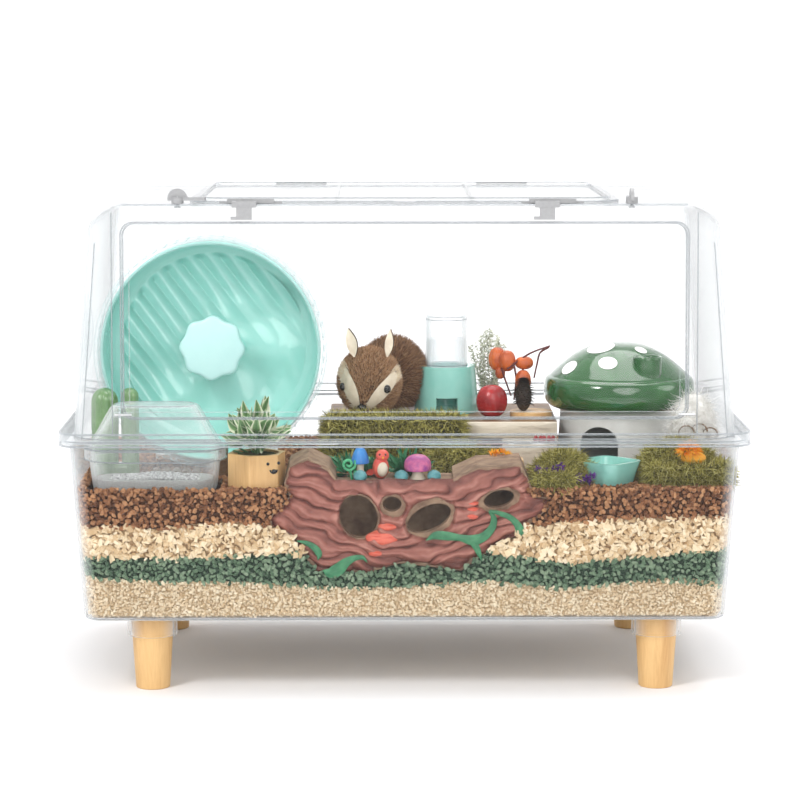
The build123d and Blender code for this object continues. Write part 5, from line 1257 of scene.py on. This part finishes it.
# --- On the log -----------------------------------------------------------------------------------
def make_log_top():
    seat = 0.2523
    blue = [(0.0, 0.2895), (0.0035, 0.2885), (0.0065, 0.2850), (0.0090, 0.2790), (0.0104, 0.2725),
            (0.0100, 0.2702),
            (0.0060, 0.2700), (0.0, 0.2712)]
    pink = [(0.0, 0.2812), (0.006, 0.2806), (0.011, 0.2782), (0.0148, 0.2735), (0.0160, 0.2680),
            (0.0152, 0.2632),
            (0.0130, 0.2620), (0.006, 0.2632), (0.0, 0.2640)]
    stem = [(0.0, 1.0), (0.0040, 0.98), (0.0042, 0.6), (0.0050, 0.25), (0.0062, 0.0)]
    build("blue_cap", *lathe(curve_through(blue, 30), (-0.052, -0.186, 0), 40), "blue_paint", "tub",
          ("log_mushrooms",))
    build("pink_cap", *lathe(curve_through(pink, 30), (0.015, -0.190, 0), 48), "pink_paint", "tub")
    stems = [lathe([(r, seat + t * 0.0185) for r, t in stem], (-0.052, -0.186, 0), 24),
             lathe([(r * 1.5, seat + t * 0.0115) for r, t in stem], (0.015, -0.190, 0), 24)]
    build("cap_stems", *joined(stems), "cream_paint", "tub")
    body = [ball((-0.028, -0.186, 0.2650), (0.0095, 0.0090, 0.0130)),
            ball((-0.026, -0.188, 0.2795), (0.0078, 0.0074, 0.0072))]
    tail = leaf_shape((-0.034, -0.184, 0.262), (-0.046, -0.180, 0.256), 0.0045, (0, -1, 0), 0.05)[:2]
    build("bird_body", *joined(body + [tail]), "red_paint", "tub", ("log_bird",))
    build("bird_breast", *ball((-0.0265, -0.1905, 0.2640), (0.0068, 0.0062, 0.0092)), "cream_paint", "tub")
    eyes = [ball((x, -0.1942, 0.2812), (0.0012, 0.0009, 0.0014), 10, 12) for x in (-0.0290, -0.0226)]
    build("bird_eyes", *joined(eyes), "black", "tub")
    beak = spikes(np.random.default_rng(9), np.array([(-0.0255, -0.1945, 0.2782)]),
                  np.array([(0.15, -1.0, -0.15)]),
                  np.array([0.0050]), 0.0020)
    build("bird_beak", *beak, "petal", "tub", smooth=False)
    fern = []
    for x, z, size, thick in ((-0.0655, 0.2700, 0.0085, 0.0017), (-0.0560, 0.2590, 0.0046, 0.0012)):
        a = np.linspace(0.4, 4.1 * pi / 1.25, 60)
        r = size * (0.12 + 0.88 * a / a[-1])
        line = np.stack([x + r * np.cos(a[::-1] * -1 + 1.0), np.full(60, -0.1935),
                         z + r * np.sin(a[::-1] * -1 + 1.0)], -1)
        fern.append(tube(line, thick, 8))
        fern.append(tube([(x + 0.002, -0.1935, z - size * 0.9), (x + 0.004, -0.192, seat)], thick, 8))
    build("fern_curls", *joined(fern), "bright_green", "tub")
    draw = np.random.default_rng(12)
    leaves = []
    for x, y, reach, count in ((-0.066, -0.164, 0.015, 60), (0.002, -0.161, 0.018, 90),
                               (-0.040, -0.166, 0.012, 40)):
        for _ in range(count):
            way = unit(draw.normal(size=3) * (1, 0.8, 0.8) + (0, -0.2, 0.9))
            start = np.array((x, y, seat + 0.002)) + way * 0.004
            leaves.append(leaf_shape(start, start + way * reach * draw.uniform(0.8, 1.9), 0.0032,
                                     unit(draw.normal(size=3)), 0.1, 6, 2)[:2])
    build("log_leaves", *joined(leaves), "vine", "tub", ("log_greens",))
    dress("teal_paint", "log_stones")


def soft_block(low, high, bevel):
    """A block with softened edges."""
    low, high = np.asarray(low, dtype=float), np.asarray(high, dtype=float)
    half, middle = (high - low) / 2, (high + low) / 2
    flat = straightened(rounded_rectangle(half[0], half[2], bevel * 2), 0.004)
    rows = []
    for shrink, y in ((half[0], -half[1]), (bevel, -half[1]), (0, -half[1] + bevel), (0, half[1] - bevel),
                      (bevel, half[1]), (half[0], half[1])):
        scale = np.maximum(1 - shrink / half[[0, 2]], 0.02)
        rows.append(np.column_stack([flat[:, 0] * scale[0], np.full(len(flat), y),
                                     flat[:, 1] * scale[1]]) + middle)
    return np.array(rows).reshape(-1, 3), grid_faces(len(rows), len(flat), wrap=True)


def make_boards():
    build("birch_front", *joined([soft_block((0.0695, -0.0632, 0.2815), (0.1860, -0.0602, 0.3012), 0.0008),
                                  soft_block((0.1195, -0.0632, 0.2446), (0.1860, -0.0602, 0.2812), 0.0008)]),
          "birch", "tub")
    motif = []
    for x in (0.160, 0.166, 0.170, 0.176, 0.181):
        motif.append(ball((x, -0.0635, 0.2800), (0.0028, 0.0006, 0.0050), 10, 14, 0.2, 3))
    build("painted_motif", *joined(motif), "red_pod", "tub")
    build("tan_step", *joined([soft_block((0.084, -0.135, 0.2470), (0.142, -0.110, 0.2660), 0.0010)]),
          "tan_board",
          "tub")
    draw = np.random.default_rng(33)
    count = 5200
    x, y = draw.uniform(-0.345, -0.239, count), draw.uniform(-0.192, -0.148, count)
    spots = np.column_stack([x, y, 0.2520 + 0.0016 * np.sin(x * 60) + draw.uniform(-0.001, 0.001, count)])
    sizes = np.full((count, 3), 0.0011) * draw.uniform(0.6, 1.3, (count, 3))
    build("sand_grains", *scattered(draw, ICO, ICO_FACES, spots, sizes, 0.3), "grain_sand", "tub",
          smooth=False)
    # Grey beads round the bath's rim, its hood and the bottle, here and below: painted shade lines along their
    # clear edges.
    hoops = [ring_at(0.083, 0.045, 0.044, 0.2878, 0.0009), ring_at(0.083, 0.045, 0.044, 0.2750, 0.0009)]
    shifted = [(points + (-0.292, -0.170, 0), faces) for points, faces in hoops]
    build("bath_rim_edges", *joined(shifted), "edge", "tub")
    hood = []
    for half_x, half_y, z in ((0.078, 0.040, 0.2890), (0.0455, 0.0225, 0.3376)):
        points, faces = ring_at(half_x, half_y, 0.020, z, 0.0008)
        hood.append((points + (-0.292, -0.170, 0), faces))
    build("bath_hood_edges", *joined(hood), "edge", "sand_bath_hood")
    bottle = []
    for radius, z in ((0.0235, 0.4200), (0.0258, 0.4165), (0.0262, 0.3600)):
        ring = [(0.054 + radius * cos(a), 0.040 + radius * sin(a), z) for a in np.arange(48) * 2 * pi / 48]
        bottle.append(tube(ring, 0.0006, 6, closed=True))
    build("bottle_edges", *joined(bottle), "edge", "water_bottle")


make_moss()
make_hedgehog()
make_planter()
make_cactus()
make_dried()
make_cotton()
make_log_top()
make_boards()


# --- Floor, light and camera ----------------------------------------------------------------------
def make_stage():
    floor_look, tree, shader = new_material("studio_floor", 0.85)
    tree.links.new(ramp(tree, noise_on(tree, 1.5), ((0.3, (0.86, 0.86, 0.87)), (0.7, (0.88, 0.88, 0.89)))),
                   shader.inputs["Base Color"])
    size = 6.0
    across = np.linspace(-1, 1, 25) * size
    sweep = [(-size, 0.0), (1.2, 0.0)]
    sweep += [(1.2 + sin(a) * 0.9, 0.9 - cos(a) * 0.9) for a in np.linspace(0, pi / 2, 14)[1:]]
    sweep += [(2.1, 5.0)]
    points = np.array([[(x, y, z) for x in across] for y, z in sweep])
    floor = build_stage("studio_floor", points, grid_faces(len(sweep), len(across)), floor_look)
    world = bpy.data.worlds.new("studio_world")
    bpy.context.scene.world = world
    world.use_nodes = True
    sky = world.node_tree.nodes["Background"]
    sky.inputs["Color"].default_value = (1.0, 1.0, 1.0, 1.0)
    sky.inputs["Strength"].default_value = 0.75
    for name, place, size, power in (
            ("key_light", (-1.7, -2.1, 2.4), 0.9, 52.0),
            ("top_light", (0.3, 0.4, 2.4), 2.2, 34.0),
            ("side_light", (2.4, -0.6, 1.2), 1.2, 8.0),
            ("front_light", (0.6, -3.3, 1.7), 2.4, 42.0)):
        data = bpy.data.lights.new(name, "AREA")
        data.shape = "DISK"
        data.size = size
        data.energy = power
        lamp = bpy.data.objects.new(name, data)
        bpy.context.scene.collection.objects.link(lamp)
        lamp.location = place
        aim = Vector((0.0, 0.0, 0.25)) - Vector(place)
        lamp.rotation_euler = aim.to_track_quat("-Z", "Y").to_euler()


def build_stage(name, points, faces, look):
    mesh = bpy.data.meshes.new(name)
    mesh.from_pydata([tuple(p) for p in points.reshape(-1, 3)], [], [tuple(map(int, f)) for f in faces])
    for polygon in mesh.polygons:
        polygon.use_smooth = True
    mesh.materials.append(look)
    made = bpy.data.objects.new(name, mesh)
    bpy.context.scene.collection.objects.link(made)
    return made


def make_camera():
    data = bpy.data.cameras.new("camera")
    data.sensor_width = 36.0
    data.lens = 121.8
    camera = bpy.data.objects.new("camera", data)
    bpy.context.scene.collection.objects.link(camera)
    camera.location = CAMERA_AT
    camera.rotation_euler = (radians(90 - 7.547), 0.0, radians(-0.627))
    bpy.context.scene.camera = camera
    bpy.context.scene.view_settings.view_transform = "Standard"
    bpy.context.scene.cycles.transparent_max_bounces = 48
    bpy.context.scene.cycles.max_bounces = 10


make_stage()
make_camera()
